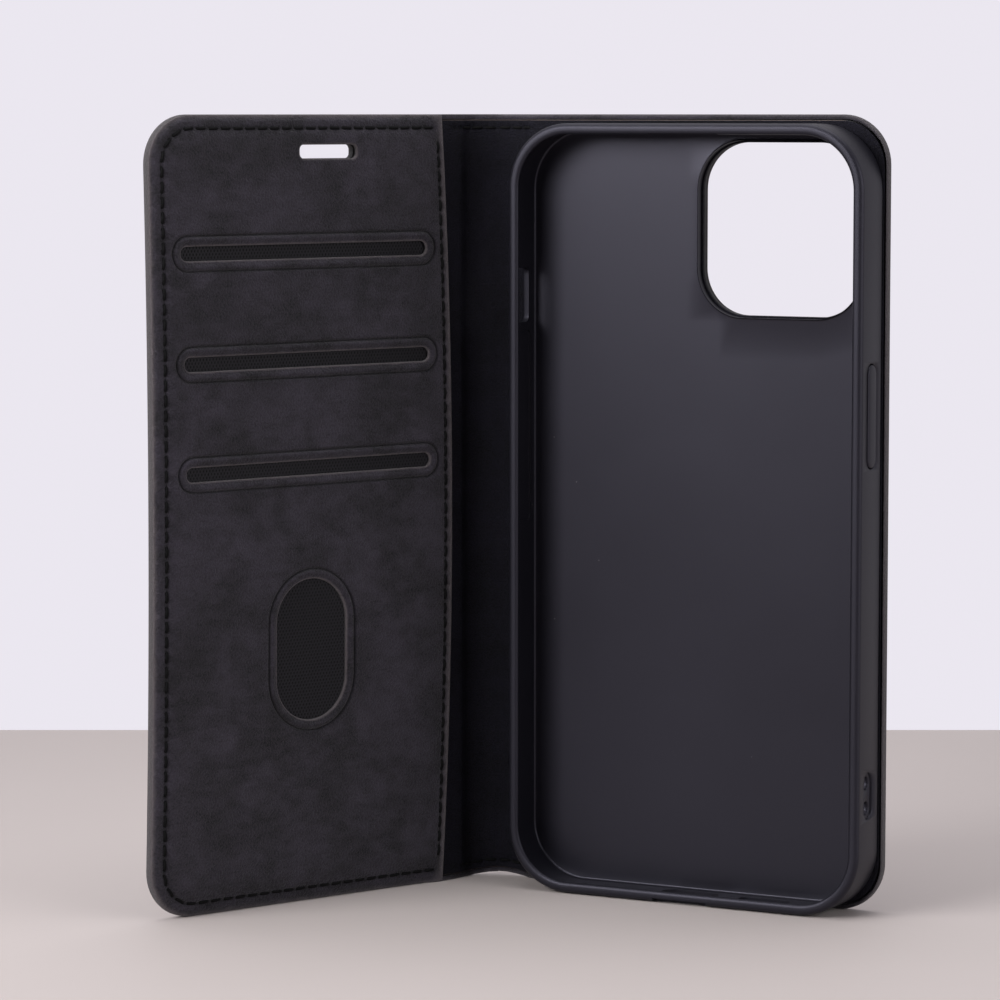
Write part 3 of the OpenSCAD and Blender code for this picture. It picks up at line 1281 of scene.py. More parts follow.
@dataclass(frozen=True)
class PlainFinish:
    """Thread, board, film or metal: one material with a fine grain of its own."""

    name: str
    deep: Colour
    pale: Colour
    roughness: float
    scale: float
    depth: float = 0.00002
    metallic: float = 0.0
    gloss: float = 0.5

    def material(self) -> bpy.types.Material:
        """Builds the material.

        Returns:
            The material.
        """
        material, tree, shader = new_material(self.name)
        skin = placed(tree, Effect.MOULD, {"Vector": object_place(tree), "Skin Scale": self.scale})
        share = tree.math("MULTIPLY", skin.outputs["Height"], skin.outputs["Tone"])
        tree.link(tree.blend(share, self.deep, self.pale), shader.inputs["Base Color"])
        rough = tree.fit(
            skin.outputs["Height"], 0.2, 0.8, self.roughness - 0.08, self.roughness + 0.08
        )
        tree.link(rough, shader.inputs["Roughness"])
        shader.inputs["Metallic"].default_value = self.metallic
        shader.inputs["Specular IOR Level"].default_value = self.gloss
        relief(tree, shader, skin.outputs["Height"], self.depth)
        return material


@dataclass
class Finishes:
    """Every material of the case, built once."""

    outer: bpy.types.Material = field(init=False)
    panel: bpy.types.Material = field(init=False)
    lining: bpy.types.Material = field(init=False)
    board: bpy.types.Material = field(init=False)
    woven: bpy.types.Material = field(init=False)
    thread: bpy.types.Material = field(init=False)
    tray: bpy.types.Material = field(init=False)
    film: bpy.types.Material = field(init=False)
    magnet: bpy.types.Material = field(init=False)

    def __post_init__(self) -> None:
        """Builds the materials."""
        deep, pale, worn = (0.0030, 0.0026, 0.0040), (0.040, 0.0343, 0.0485), (0.085, 0.075, 0.083)
        raw = (0.06, 0.054, 0.058)
        self.outer = LeatherFinish("outer_leather", deep, pale, worn, raw).material()
        rubbed = (0.115, 0.100, 0.106)
        self.panel = LeatherFinish(
            "panel_leather", deep, pale, rubbed, raw, wear_start=0.36
        ).material()
        self.lining = LeatherFinish(
            "lining_leather",
            (0.0007, 0.0007, 0.0013),
            (0.0116, 0.0106, 0.0188),
            (0.018, 0.017, 0.018),
            (0.17, 0.13, 0.115),
            roughness=0.66,
            gloss=0.13,
            sheen=0.0,
            speckle=0.6,
            cloud=50.0,
            fibre=3000.0,
            wear_start=0.9,
        ).material()
        self.board = PlainFinish(
            "painted_board", (0.012, 0.0115, 0.013), (0.03, 0.028, 0.03), 0.7, 1800.0
        ).material()
        self.woven = WovenFinish("woven_mesh").material()
        self.thread = PlainFinish(
            "thread", (0.0010, 0.0010, 0.0012), (
                0.0045, 0.0043, 0.0050
            ), 0.75, 3800.0, 0.00003, gloss=0.12
        ).material()
        self.tray = MouldedFinish("moulded_tray").material()
        self.film = PlainFinish(
            "bonding_film", (0.5, 0.5, 0.48), (0.6, 0.6, 0.58), 0.4, 900.0
        ).material()
        self.magnet = PlainFinish(
            "magnet", (0.5, 0.5, 0.51), (0.62, 0.62, 0.63), 0.35, 2400.0, metallic=1.0
        ).material()


# ---- the cover ----


@dataclass(frozen=True)
class Pressed:
    """How deep stitches press into leather, and how much painted shade darkens the dents."""

    seams: Sequence[Seam]
    channel: float = 0.13
    half: float = 0.78
    hole: float = 0.24
    hole_half: float = 0.4

    def depth(self, p: Array) -> Array:
        """The depth at each point.

        Args:
            p: Rows of q and z.

        Returns:
            One depth for each point.
        """
        total = np.zeros(len(p))
        for seam in self.seams:
            line = nearest(seam.resampled(0.15), p)
            hole = nearest(seam.holes(), p)
            total = np.maximum(total, self.channel * bump(line, 0, self.half))
            total += self.hole * np.exp(-((hole / self.hole_half) ** 2))
        return total

    def shade(self, p: Array) -> Array:
        """How much painted shade darkens the dents, from 0 to 1."""
        return np.clip(self.depth(p) / (self.channel + self.hole), 0, 1) ** 1.3


def nearest(targets: Array, p: Array) -> Array:
    """The distance from each point to the nearest target.

    Args:
        targets: Rows of q and z to measure to.
        p: Rows of q and z.

    Returns:
        One distance for each point.
    """
    tree = KDTree(len(targets))
    for i, (q, z) in enumerate(targets.tolist()):
        tree.insert((q, z, 0), i)
    tree.balance()
    return np.array([tree.find((q, z, 0))[2] for q, z in p.tolist()])


@dataclass
class CaseParts:
    """What every sub-assembly shares: sizes, wings and finishes."""

    layers: Layers
    front: Wing
    back: Wing
    finishes: Finishes
    camera: RoundBox
    earpiece: RoundBox
    seam_inset: float = 2.62

    def cover_outline(self, wing: Wing, start: float, raw: bool = False) -> CoverOutline:
        """The outline of a layer that reaches a cover's free edges."""
        lay = self.layers
        return CoverOutline(start, wing.width, 0.0, lay.height, lay.corner, raw)

    def cover_holes(self, wing: Wing) -> tuple[RoundBox, ...]:
        """The holes that go through every layer of a cover."""
        return (self.earpiece,) if wing.front else (self.camera,)

    def turned_edge(self, wing: Wing, q: Array) -> Array:
        """The level up to which the outer leather is turned at the free edges.

        Args:
            wing: The half of the cover that it belongs to.
            q: Distances from the crease.

        Returns:
            One level for each q.
        """
        lay = self.layers
        if wing.front:
            levels = (lay.skin + 0.28, lay.lining_in - 0.03, lay.lining_in - 0.03, lay.skin + 0.57)
            return np.interp(q, (-2.0, 2.6, 7.0, 11.0), levels)
        levels = (lay.skin + 0.28, lay.board_in - 0.04, lay.board_in - 0.04, lay.lining_in - 0.1)
        return np.interp(q, (-2.0, 1.5, wing.width - 9.0, wing.width - 2.0), levels)

    def across_crease(self, wing: Wing, piece: bpy.types.Object) -> None:
        """Bakes a sheet's transform into its mesh.

        Args:
            wing: The half of the cover that it belongs to.
            piece: The piece.
        """
        reach = np.array([1.9, -1.9])
        ends = wing.place(reach, np.zeros(2), np.zeros(2)) * MM
        wing.body
        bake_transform(piece)


@dataclass
class LeatherBook:
    """The outer leather and the smooth lining, each in two halves that meet along the spine."""

    parts: CaseParts
    spine_step: float = 0.55
    lining_reach: float = 8.0
    seam_end: float = 3.4
    tray_start: float = 0.4
    back_pitch: float = 2.815

    def columns(self, wing: Wing) -> Array:
        """Closer columns over the spine and the crease."""
        return np.arange(wing.split + self.spine_step, 3.0, self.spine_step)

    def outer_seam(self, wing: Wing) -> Seam:
        """The seam round a cover's outer face, whose stitches keep clear of the crease.

        Args:
            wing: The half of the cover that it belongs to.

        Returns:
            The seam.
        """
        outline = self.parts.cover_outline(wing, wing.split)
        seam = edge_seam(outline, wing.split, self.parts.seam_inset)
        return seam if wing.front else replace(seam, pitch=self.back_pitch)

    def lining_seams(self, wing: Wing) -> list[Seam]:
        """The seams that cross the spine's lining.

        Args:
            wing: The half of the cover that it belongs to.

        Returns:
            The lower seam and the upper seam.
        """
        end = self.seam_end if wing.front else self.tray_start
        inset = self.parts.seam_inset
        return [
            Seam(np.array([[wing.split, z], [end, z]]))
            for z in (inset, self.parts.layers.height - inset)
        ]

    def lining_under(self, p: Array) -> Array:
        """The level of the lining's hidden face, which steps up onto the board."""
        lay = self.parts.layers
        return lay.skin + 0.01 + lay.board * smooth(p[:, 0], -1.4, 1.2)

    def lining_face(self, p: Array) -> Array:
        """The level of the lining's shown face."""
        return self.lining_under(p) + self.parts.layers.lining - 0.01

    def outer_half(self, wing: Wing) -> bpy.types.Object:
        """The outer leather of one cover and half of the spine.

        Args:
            wing: The half of the cover that it belongs to.

        Returns:
            The piece.
        """
        parts, lay = self.parts, self.parts.layers
        seam, outline = self.outer_seam(wing), parts.cover_outline(wing, wing.split)
        pressed = Pressed([seam])

        def turned(p: Array) -> Array:
            """The hidden face, turned up round the free edges.

            Args:
                p: Rows of q and z.

            Returns:
                One level for each point.
            """
            wide = np.interp(p[:, 0], (wing.width - 9.0, wing.width - 2.0), (0.9, 0.45))
            share = 1 - smooth(outline.inside(p) - wide, 0.0, 0.12)
            return lay.skin + (parts.turned_edge(wing, p[:, 0]) - lay.skin) * share

        sheet = Sheet(
            "outer_cover_front" if wing.front else "outer_cover_back",
            outline,
            low=lambda p: pressed.depth(p) - lay.skin,
            top=turned,
            holes=parts.cover_holes(wing),
            seams=[seam],
            columns=self.columns(wing),
            round_edge=0.5,
            round_top=not wing.front,
            edge_rings=(0.6, 0.75, 0.9, 0.96, 1.02),
            # Painted shade in the stitch channels and needle holes.
            dent_shade_of=pressed.shade,
        )
        piece = sheet.build(wing)
        dress(piece, parts.finishes.outer, Slot.OUTER)
        node = "outer_leather_front" if wing.front else "outer_leather_back"
        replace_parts(piece, node, "outer_leather_spine")
        parts.across_crease(wing, piece)
        return piece

    def lining_half(self, wing: Wing) -> bpy.types.Object:
        """The smooth lining of half of the spine and of what shows beside it.

        Args:
            wing: The half of the cover that it belongs to.

        Returns:
            The piece.
        """
        parts, lay = self.parts, self.parts.layers
        low, high = lay.raw_inset, lay.height - lay.raw_inset
        end = self.lining_reach if wing.front else wing.width - 0.62
        seams = self.lining_seams(wing)
        pressed = Pressed(seams, channel=0.08)
        sheet = Sheet(
            "spine_lining_front" if wing.front else "tray_lining_back",
            CoverOutline(wing.split, end, low, high, 1.0 if wing.front else lay.corner - 0.7),
            low=self.lining_under,
            top=lambda p: self.lining_face(p) - pressed.depth(p),
            holes=() if wing.front else (parts.camera,),
            seams=seams,
            columns=self.columns(wing),
            round_edge=0.15,
            # Painted shade in the stitch channels and needle holes.
            dent_shade_of=pressed.shade,
            worn_from=lambda p: np.minimum(p[:, 1] - low, high - p[:, 1]),
        )
        piece = sheet.build(wing)
        dress(piece, parts.finishes.lining, Slot.LINING)
        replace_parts(piece, "lining_front" if wing.front else "lining_back", "lining_spine")
        parts.across_crease(wing, piece)
        return piece

    def build(self) -> list[bpy.types.Object]:
        """Makes the four sheets."""
        wings = (self.parts.front, self.parts.back)
        return [make(w) for w in wings for make in (self.outer_half, self.lining_half)]


@dataclass
class Stiffeners:
    """The painted boards, with the closing magnets let into them."""

    parts: CaseParts
    inset: float = 1.05
    magnet_r: float = 5.0
    magnet_t: float = 0.9
    magnet_edge: float = 8.4
    magnet_z: tuple[float, ...] = (40.0, 85.0)

    def board(self, wing: Wing) -> bpy.types.Object:
        """One cover's board.

        Args:
            wing: The half of the cover that it belongs to.

        Returns:
            The piece.
        """
        parts, lay = self.parts, self.parts.layers
        outline = CoverOutline(
            lay.crease_gap,
            wing.width - self.inset,
            self.inset,
            lay.height - self.inset,
            lay.corner - self.inset,
            True,
        )
        pockets = [
            RoundBox.pill(
                wing.width - self.magnet_edge, z, 2 * self.magnet_r + 0.2, 2 * self.magnet_r + 0.2
            )
            for z in self.magnet_z
        ]
        sheet = Sheet(
            "stiffener_front" if wing.front else "stiffener_back",
            outline,
            low=lambda p: np.full(len(p), lay.skin),
            top=lambda p: np.full(len(p), lay.board_in),
            holes=(*parts.cover_holes(wing), *pockets),
            round_edge=0.0,
        )
        piece = sheet.build(wing)
        dress(piece, parts.finishes.board, Slot.BOARD)
        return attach(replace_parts(piece, "front_board" if wing.front else "back_board"), wing.body)

    def magnets(self, wing: Wing) -> bpy.types.Object:
        """The two disc magnets in one board.

        Args:
            wing: The half of the cover that it belongs to.

        Returns:
            The piece.
        """
        discs = []
        for i, z in enumerate(self.magnet_z):
            q = wing.width - self.magnet_edge
            face = RoundBox.pill(q, z, 2 * self.magnet_r, 2 * self.magnet_r)
            steps = ((0.3, 0.0), (0.1, 0.05), (0.0, 0.2), (0.0, 0.7), (0.1, 0.85), (0.3, 0.9))
            loops = []
            for inset, level in steps:
                flat = face.loop(inset, 0.7)
                t = np.full(len(flat), self.parts.layers.skin + level * self.magnet_t / 0.9)
                loops.append(wing.place(flat[:, 0], flat[:, 1], t))
            discs.append(closed_stack(f"disc_{i}", loops))
        piece = join_pieces(
            "closing_magnets_front" if wing.front else "closing_magnets_back", discs
        )
        dress(piece, self.parts.finishes.magnet, Slot.MAGNET)
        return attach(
            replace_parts(piece, "front_magnets" if wing.front else "back_magnets"), wing.body
        )

    def build(self) -> list[bpy.types.Object]:
        """Makes the boards and the magnets."""
        wings = (self.parts.front, self.parts.back)
        return [make(w) for w in wings for make in (self.board, self.magnets)]


@dataclass
class CardPockets:
    """The pocket panel with its pressed slots, and the woven sleeves behind it."""

    parts: CaseParts
    cut_edge: float = 3.66
    cut_bow: float = 2.45
    seam_line: float = 5.41
    seam_bow: float = 2.1
    slot_q: tuple[float, ...] = (39.2, 38.7, 38.45)
    slot_z: tuple[float, ...] = (125.6, 104.9, 84.2)
    slot_size: tuple[float, float] = (58.3, 2.7)
    thumb: tuple[float, float, float, float] = (38.35, 49.1, 16.5, 27.3)
    ring: float = 1.98
    hole_wear: float = 1.7
    sleeve_start: float = 8.0
    sleeve_end: float = 70.6
    sleeve_t: float = 0.2
    sleeve_head: float = 5.0
    sleeve_deep: float = 88.0

    def slots(self) -> list[RoundBox]:
        """The card slots and the thumb window."""
        slots = [RoundBox.pill(q, z, *self.slot_size) for q, z in zip(self.slot_q, self.slot_z)]
        return [*slots, RoundBox.pill(*self.thumb)]

    def outline(self) -> CoverOutline:
        """The panel's outline, with its bowed cut edge beside the spine."""
        outline = self.parts.cover_outline(self.parts.front, self.cut_edge, raw=True)
        return replace(outline, bow=self.cut_bow, bow_z=self.parts.layers.height / 2)

    def seams(self) -> list[Seam]:
        """The seam round the free edges, and the seam beside the cut edge.

        Returns:
            Both seams.
        """
        outline = self.outline()
        high = self.parts.layers.height
        around = edge_seam(outline, self.seam_line + self.seam_bow - 0.2, self.parts.seam_inset)
        z = np.linspace(self.parts.seam_inset + 1.2, high - self.parts.seam_inset - 1.2, 60)
        bowed = self.seam_line + self.seam_bow * ((z - high / 2) / (high / 2)) ** 2
        return [around, Seam(np.column_stack([bowed, z]))]

    def under(self, p: Array) -> Array:
        """The level of the panel's hidden face: pulled down round the free edges.

        Args:
            p: Rows of q and z.

        Returns:
            One level for each point.
        """
        lay = self.parts.layers
        inside = replace(self.outline(), raw_start=False).inside(p)
        down = lay.lining * (1 - smooth(inside, 0.9, 4.3)) + 0.4 * (1 - smooth(inside, 0.35, 1.3))
        return lay.lining_in - down * smooth(p[:, 0], 7.0, 11.0)

    def face(self, p: Array) -> Array:
        """The level of the panel's shown face before pressing."""
        return self.under(p) + self.parts.layers.panel

    def from_edges(self, p: Array) -> Array:
        """How far points lie from the worn free edges and holes; wear is narrower at the holes."""
        d = [self.hole_wear * hole.outside(p) for hole in (self.parts.earpiece, *self.slots())]
        return np.min([self.outline().inside(p), *d], axis=0)

    def groove(self, p: Array) -> Array:
        """How much painted shade darkens the grooves round the slots."""
        return 0.6 * np.max(
            [bump(slot.outside(p), self.ring, 0.5) for slot in self.slots()], axis=0
        )

    def press(self, p: Array) -> Array:
        """The pressed frames round the slots: a ledge, a bead and a groove.

        Args:
            p: Rows of q and z.

        Returns:
            One level for each point.
        """
        level = np.zeros(len(p))
        for slot in self.slots():
            d = slot.outside(p)
            ledge = -0.16 * (1 - smooth(d, 0.42, 0.8))
            bead = 0.16 * bump(d, 1.22, 0.62)
            groove = -0.38 * bump(d, self.ring, 0.4)
            level += ledge + bead + groove
        return level

    def panel(self) -> bpy.types.Object:
        """The leather panel that lies over the sleeves.

        Returns:
            The piece.
        """
        parts, lay = self.parts, self.parts.layers
        outline, seams = self.outline(), self.seams()
        pressed = Pressed(seams)
        sheet = Sheet(
            "card_panel",
            outline,
            low=self.under,
            top=lambda p: self.face(p) + self.press(p) - pressed.depth(p),
            holes=(parts.earpiece, *self.slots()),
            seams=seams,
            round_edge=0.4,
            round_low=False,
            edge_rings=(0.6, 0.8, 1.0, 1.2, 1.4),
            # Painted shade in the stitch channels, needle holes and the grooves round the slots.
            dent_shade_of=lambda p: np.maximum(pressed.shade(p), self.groove(p)),
            worn_from=lambda p: np.minimum(
                0.45 * (p[:, 0] - outline.edge(p[:, 1])), self.from_edges(p)
            ),
            rings=(
                0.46,
                0.54,
                0.68,
                0.82,
                1.0,
                1.2,
                1.4,
                1.58,
                1.7,
                1.79,
                1.88,
                1.98,
                2.08,
                2.18,
                2.3,
                2.5,
                2.8,
            ),
        )
        piece = sheet.build(parts.front)
        dress(piece, parts.finishes.panel, Slot.PANEL)
        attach(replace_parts(piece, "pocket_panel"), parts.front.body)
        return piece

    def sleeve(self, level: int, name: str, low: float, high: float) -> bpy.types.Object:
        """One woven sleeve.

        Args:
            level: Its place in the stack, 0 on the board.
            name: The CAD sleeve that it stands for.
            low: Its lower edge.
            high: Its upper edge.

        Returns:
            The sleeve.
        """
        lay = self.parts.layers
        base = lay.board_in + level * self.sleeve_t
        outline = CoverOutline(self.sleeve_start, self.sleeve_end, low, high, 1.0, True)

        def slack(p: Array) -> Array:
            """The cloth's lower level, with a faint wave."""
            wave = np.sin(p[:, 0] * 0.31 + level) * np.sin(p[:, 1] * 0.23 + 2 * level)
            return base + 0.02 + 0.02 * wave

        sheet = Sheet(
            f"card_{name}",
            outline,
            low=slack,
            top=lambda p: slack(p) + self.sleeve_t - 0.04,
            round_edge=0.05,
            grid=2.5,
        )
        piece = sheet.build(self.parts.front)
        dress(piece, self.parts.finishes.woven, Slot.WOVEN)
        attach(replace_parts(piece, name), self.parts.front.body)
        return piece

    def build(self) -> list[bpy.types.Object]:
        """Makes the sleeves and the panel.

        Returns:
            The pieces.
        """
        made = []
        for level, name in enumerate(("sleeve_top", "sleeve_middle", "sleeve_bottom")):
            top = self.slot_z[level] + self.sleeve_head
            low = self.slot_z[level] - self.sleeve_deep if level < 2 else 3.75
            made.append(self.sleeve(level, name, low, top))
        return [*made, self.panel()]


# ---- the tray and its keys ----


@dataclass(frozen=True)
class TrayFrame:
    """Brings the tray's own x, y, z to the case's."""

    x: float = -15.580
    y: float = 34.8325

    def place(self, x: Array, y: Array, z: Array) -> Array:
        """Rows of x, y and z in the case's frame, in millimetres."""
        parts = np.broadcast_arrays(*(np.asarray(v, float) for v in (x, y, z)))
        return np.column_stack(
            [parts[0].ravel() + self.x, parts[1].ravel() + self.y, parts[2].ravel()]
        )


class Wall(Enum):
    """The tray's walls that have cut-outs: the axis they face and their outer face's place."""

    LEFT = ("x", 0.0, -1.0)
    RIGHT = ("x", 74.4, 1.0)
    FOOT = ("z", 0.2, -1.0)
    LIP_FRONT = ("y", -10.2, -1.0)


@dataclass(frozen=True)
class Cutter:
    """A cut into one wall: a rounded outline and how wide it is at each depth.

    The steps are pairs of depth below the wall's outer face and inset of the outline; a negative
    inset flares the cut.
    """

    wall: Wall
    outline: RoundBox
    steps: tuple[tuple[float, float], ...]

    def build(self, name: str, seat: TrayFrame) -> bpy.types.Object:
        """Makes the closed cutter.

        Args:
            name: Its name.
            seat: Where the tray sits in the case.

        Returns:
            The cutter.
        """
        axis, face, sign = self.wall.value
        loops = []
        for depth, inset in self.steps:
            flat = self.outline.loop(inset, 0.45)
            level = face - sign * depth
            if axis == "x":
                loops.append(seat.place(level, flat[:, 0], flat[:, 1]))
            elif axis == "z":
                loops.append(seat.place(flat[:, 0], flat[:, 1], level))
            else:
                loops.append(seat.place(flat[:, 0], level, flat[:, 1]))
        return closed_stack(name, loops)


def through(depth: float, flare: float = 0.35) -> tuple[tuple[float, float], ...]:
    """The steps of a hole with a softened outer edge."""
    return (
        (-0.8, -flare),
        (-0.02, -flare),
        (0.06, -flare * 0.55),
        (0.17, -flare * 0.2),
        (0.36, 0.0),
        (depth, 0.0),
    )


@dataclass
class PhoneTray:
    """The moulded tray: floor, walls, rolled lip, camera window and cut-outs."""

    parts: CaseParts
    seat: TrayFrame = field(default_factory=TrayFrame)
    width: float = 74.4
    height: float = 149.6
    lift: float = 0.2
    corner: float = 12.5
    wall: float = 1.3
    floor: float = -1.2
    back: float = -0.15
    front: float = -10.2
    lap: float = 2.7
    fillet: float = 0.4
    lip_back: float = -9.0
    nose: float = 0.8
    front_round: float = 1.0
    back_round: float = 0.9
    window: RoundBox = RoundBox(53.7, 129.7, 34.1, 33.7, 9.35)
    window_round: float = 0.4
    key_z: tuple[float, ...] = (102.8, 89.0)
    power_z: float = 95.2
    middle_y: float = -5.3

    def outline(self) -> RoundBox:
        """The outer wall's outline."""
        return RoundBox(
            self.width / 2, self.lift + self.height / 2, self.width, self.height, self.corner
        )

    def profile(self) -> list[tuple[float, float]]:
        """The wall's cut, from the floor round the lip to the back.

        Returns:
            Pairs of inset and y.
        """
        steps: list[tuple[float, float]] = [(self.lap, self.floor)]

        def arc(
            d: float, y: float, rd: float, ry: float, first: float, last: float, n: int
        ) -> None:
            """Adds n steps of an arc round (d, y) between two angles in degrees.

            Args:
                d: The middle's inset.
                y: The middle's y.
                rd: The radius across the wall.
                ry: The radius along y.
                first: The first angle.
                last: The last angle.
                n: The number of steps.
            """
            for k in range(n + 1):
                a = math.radians(first + (last - first) * k / n)
                steps.append((d + rd * math.cos(a), y + ry * math.sin(a)))

        foot, lip = self.fillet, (self.lip_back - self.front) / 2
        arc(self.wall + foot, self.floor - foot, foot, foot, 90, 180, 5)
        arc(self.wall + 0.1, self.lip_back + 0.2, 0.1, 0.2, 180, 270, 3)
        arc(self.wall, self.front + lip, self.nose, lip, 90, -90, 12)
        arc(self.front_round, self.front + 0.9, self.front_round, 0.9, 270, 180, 8)
        arc(
            self.back_round,
            self.back - self.back_round,
            self.back_round,
            self.back_round,
            180,
            90,
            6,
        )
        steps.append((self.lap, self.back))
        return steps

    def shell(self) -> bpy.types.Object:
        """The closed tray before its cut-outs.

        Returns:
            The piece.
        """
        outline, place = self.outline(), self.seat.place
        rows = [outline.loop(d, 1.1) for d, _ in self.profile()]
        n = len(rows[0])
        points = [place(flat[:, 0], y, flat[:, 1]) for flat, (_, y) in zip(rows, self.profile())]
        faces: list[list[int]] = []
        for k in range(len(rows) - 1):
            for i in range(n):
                j = (i + 1) % n
                faces.append([k * n + i, k * n + j, (k + 1) * n + j, (k + 1) * n + i])
        flat, tris, drop = self.floor_net()
        base = len(rows) * n
        floor = place(flat[:, 0], self.floor + drop, flat[:, 1])
        back = place(flat[:, 0], self.back - drop, flat[:, 1])
        m = len(flat)
        faces += [list(base + t) for t in tris] + [list(base + m + t[::-1]) for t in tris]
        sides = np.concatenate([tris[:, [0, 1]], tris[:, [1, 2]], tris[:, [2, 0]]])
        key = {(int(a), int(b)) for a, b in sides}
        at_window = self.window.outside(flat) < 0.05
        for a, b in key:
            if (b, a) not in key and at_window[a] and at_window[b]:
                faces.append([base + b, base + a, base + a + m, base + b + m])
        piece = mesh_object("moulded_tray", np.concatenate([*points, floor, back]), faces)
        face_outwards(piece)
        return piece

    def floor_net(self) -> tuple[Array, Array, Array]:
        """The floor's flat net and how far its edge at the window is rounded off.

        Returns:
            Its points, its triangles, and the rounding at each point.
        """
        r = self.window_round
        rings = [r * (1 - math.cos(a)) for a in (0, math.pi / 6, math.pi / 3, math.pi / 2)]
        lines = [(self.outline().loop(self.lap, 1.1), True)]
        lines += [(self.window.loop(-d, 0.8), True) for d in rings]
        grid = np.stack(
            np.meshgrid(np.arange(6, 69, 7.0), np.arange(7, 144, 7.0), indexing="ij"), -1
        )
        loose = grid.reshape(-1, 2)
        inner = RoundBox(
            self.width / 2, self.lift + self.height / 2, self.width - 8, self.height - 8, 9
        )
        loose = loose[(inner.outside(loose) < 0) & (self.window.outside(loose) > 1.5)]
        flat, tris = flat_triangles(lines, loose, lambda p: clear_of(self.window, 0.8, p))
        away = self.window.outside(flat)
        drop = np.where(
            away < r, -(r - np.sqrt(np.maximum(r * r - (r - np.maximum(away, 0)) ** 2, 0))), 0.0
        )
        return flat, tris, drop

    def cutters(self) -> tuple[list[Cutter], list[Cutter]]:
        """The cut-outs, in two groups whose members don't touch each other.

        Returns:
            The two groups.
        """
        mid = self.middle_y
        recess = ((-0.6, -0.32), (0.0, -0.32), (0.08, -0.24), (0.2, -0.2), (0.8, -0.2))
        groove = ((self.wall - 0.3, 0.0), (self.wall - 0.02, -0.06), (self.wall + 1.2, -0.06))
        first = [
            Cutter(Wall.LEFT, RoundBox(-6.3, 116.5, 5.0, 10.6, 1.2), through(3.4)),
            *(Cutter(Wall.LEFT, RoundBox.pill(mid, z, 3.8, 11.4), recess) for z in self.key_z),
            Cutter(Wall.RIGHT, RoundBox.pill(mid, self.power_z, 3.8, 19.4), recess),
            Cutter(
                Wall.RIGHT,
                RoundBox.pill(mid, 23.4, 4.0, 8.8),
                ((-0.8, -0.3), (-0.02, -0.3), (0.2, -0.08), (0.5, 0.0)),
            ),
            Cutter(Wall.FOOT, RoundBox.pill(52.9, -4.9, 10.6, 2.6), through(3.4, 0.25)),
            Cutter(Wall.FOOT, RoundBox.pill(37.2, -5.3, 11.8, 5.2), through(3.4, 0.4)),
        ]
        second = [
            *(
                Cutter(
                    Wall.RIGHT,
                    RoundBox.pill(mid, z, 2.5, 2.5),
                    ((-1.0, 0.0), (0.5, -0.2), (0.7, 0.0), (3.4, 0.0)),
                )
                for z in (21.0, 25.8)
            ),
            Cutter(Wall.LEFT, RoundBox(mid, 91.0, 4.6, 37.0, 1.0), groove),
            Cutter(
                Wall.FOOT,
                RoundBox(37.2, -9.9, 11.2, 2.2, 0.5),
                ((-0.8, -0.15), (0.0, -0.15), (0.12, -0.05), (0.7, 0.0)),
            ),
            Cutter(
                Wall.LIP_FRONT, RoundBox(37.2, 147.7, 14.6, 0.5, 0.24), ((-0.6, 0.0), (1.7, 0.0))
            ),
            Cutter(Wall.RIGHT, RoundBox(mid, self.power_z, 4.6, 19.6, 1.0), groove),
        ]
        return first, second

    def cut(self, shell: bpy.types.Object, cutters: Sequence[Cutter]) -> None:
        """Takes cutters out of the shell.

        Args:
            shell: The tray.
            cutters: What is taken out of it.
        """
        tool = join_pieces(
            "tool", [c.build(f"cutter_{i}", self.seat) for i, c in enumerate(cutters)]
        )
        boolean = shell.modifiers.new("cut", "BOOLEAN")
        boolean.operation, boolean.solver, boolean.object = "DIFFERENCE", "EXACT", tool
        settle(shell)
        bpy.data.objects.remove(tool)

    def build(self) -> bpy.types.Object:
        """Makes the tray.

        Returns:
            The piece.
        """
        shell = self.shell()
        for group in self.cutters():
            self.cut(shell, group)
        face_outwards(shell)
        co = np.empty(len(shell.data.vertices) * 3, np.float32)
        shell.data.vertices.foreach_get("co", co)
        y = co.reshape(-1, 3)[:, 1] / MM - self.seat.y
        store(shell, "matt", smooth(y, self.floor - 1.6, self.floor - 0.6))
        dress(shell, self.parts.finishes.tray, Slot.TRAY)
        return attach(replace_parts(shell, "phone_tray"), "back_cover")


@dataclass
class SideKeys:
    """The three domed key covers in the tray's side walls."""

    tray: PhoneTray
    across: float = 3.8
    proud: float = 0.34
    root: float = -0.35

    def key(self, name: str, body: str, wall: Wall, z: float, long: float) -> bpy.types.Object:
        """One key cover.

        Args:
            name: Its piece's name.
            body: The CAD body and node that it stands for.
            wall: The wall that it sits in.
            z: Its middle's height.
            long: Its length.

        Returns:
            The key.
        """
        outline = RoundBox.pill(self.tray.middle_y, z, self.across, long)
        rise = self.proud - 0.05
        steps = (
            (self.root, 0.12),
            (self.root + 0.1, 0.0),
            (0.04, 0.0),
            (0.05 + rise * 0.32, 0.08),
            (0.05 + rise * 0.6, 0.28),
            (0.05 + rise * 0.82, 0.62),
            (0.05 + rise * 0.95, 1.05),
            (self.proud, 1.45),
        )
        key = Cutter(wall, outline, tuple((-level, inset) for level, inset in steps)).build(
            name, self.tray.seat
        )
        store(key, "matt", np.zeros(len(key.data.vertices)))
        dress(key, self.tray.parts.finishes.tray, Slot.TRAY)
        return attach(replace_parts(key, body), body)

    def build(self) -> list[bpy.types.Object]:
        """Makes the keys.

        Returns:
            The pieces.
        """
        up, down = self.tray.key_z
        return [
            self.key("volume_up_key", "volume_up_button", Wall.LEFT, up, 11.4),
            self.key("volume_down_key", "volume_down_button", Wall.LEFT, down, 11.4),
            self.key("power_key", "power_button", Wall.RIGHT, self.tray.power_z, 19.4),
        ]


# ---- stitching ----


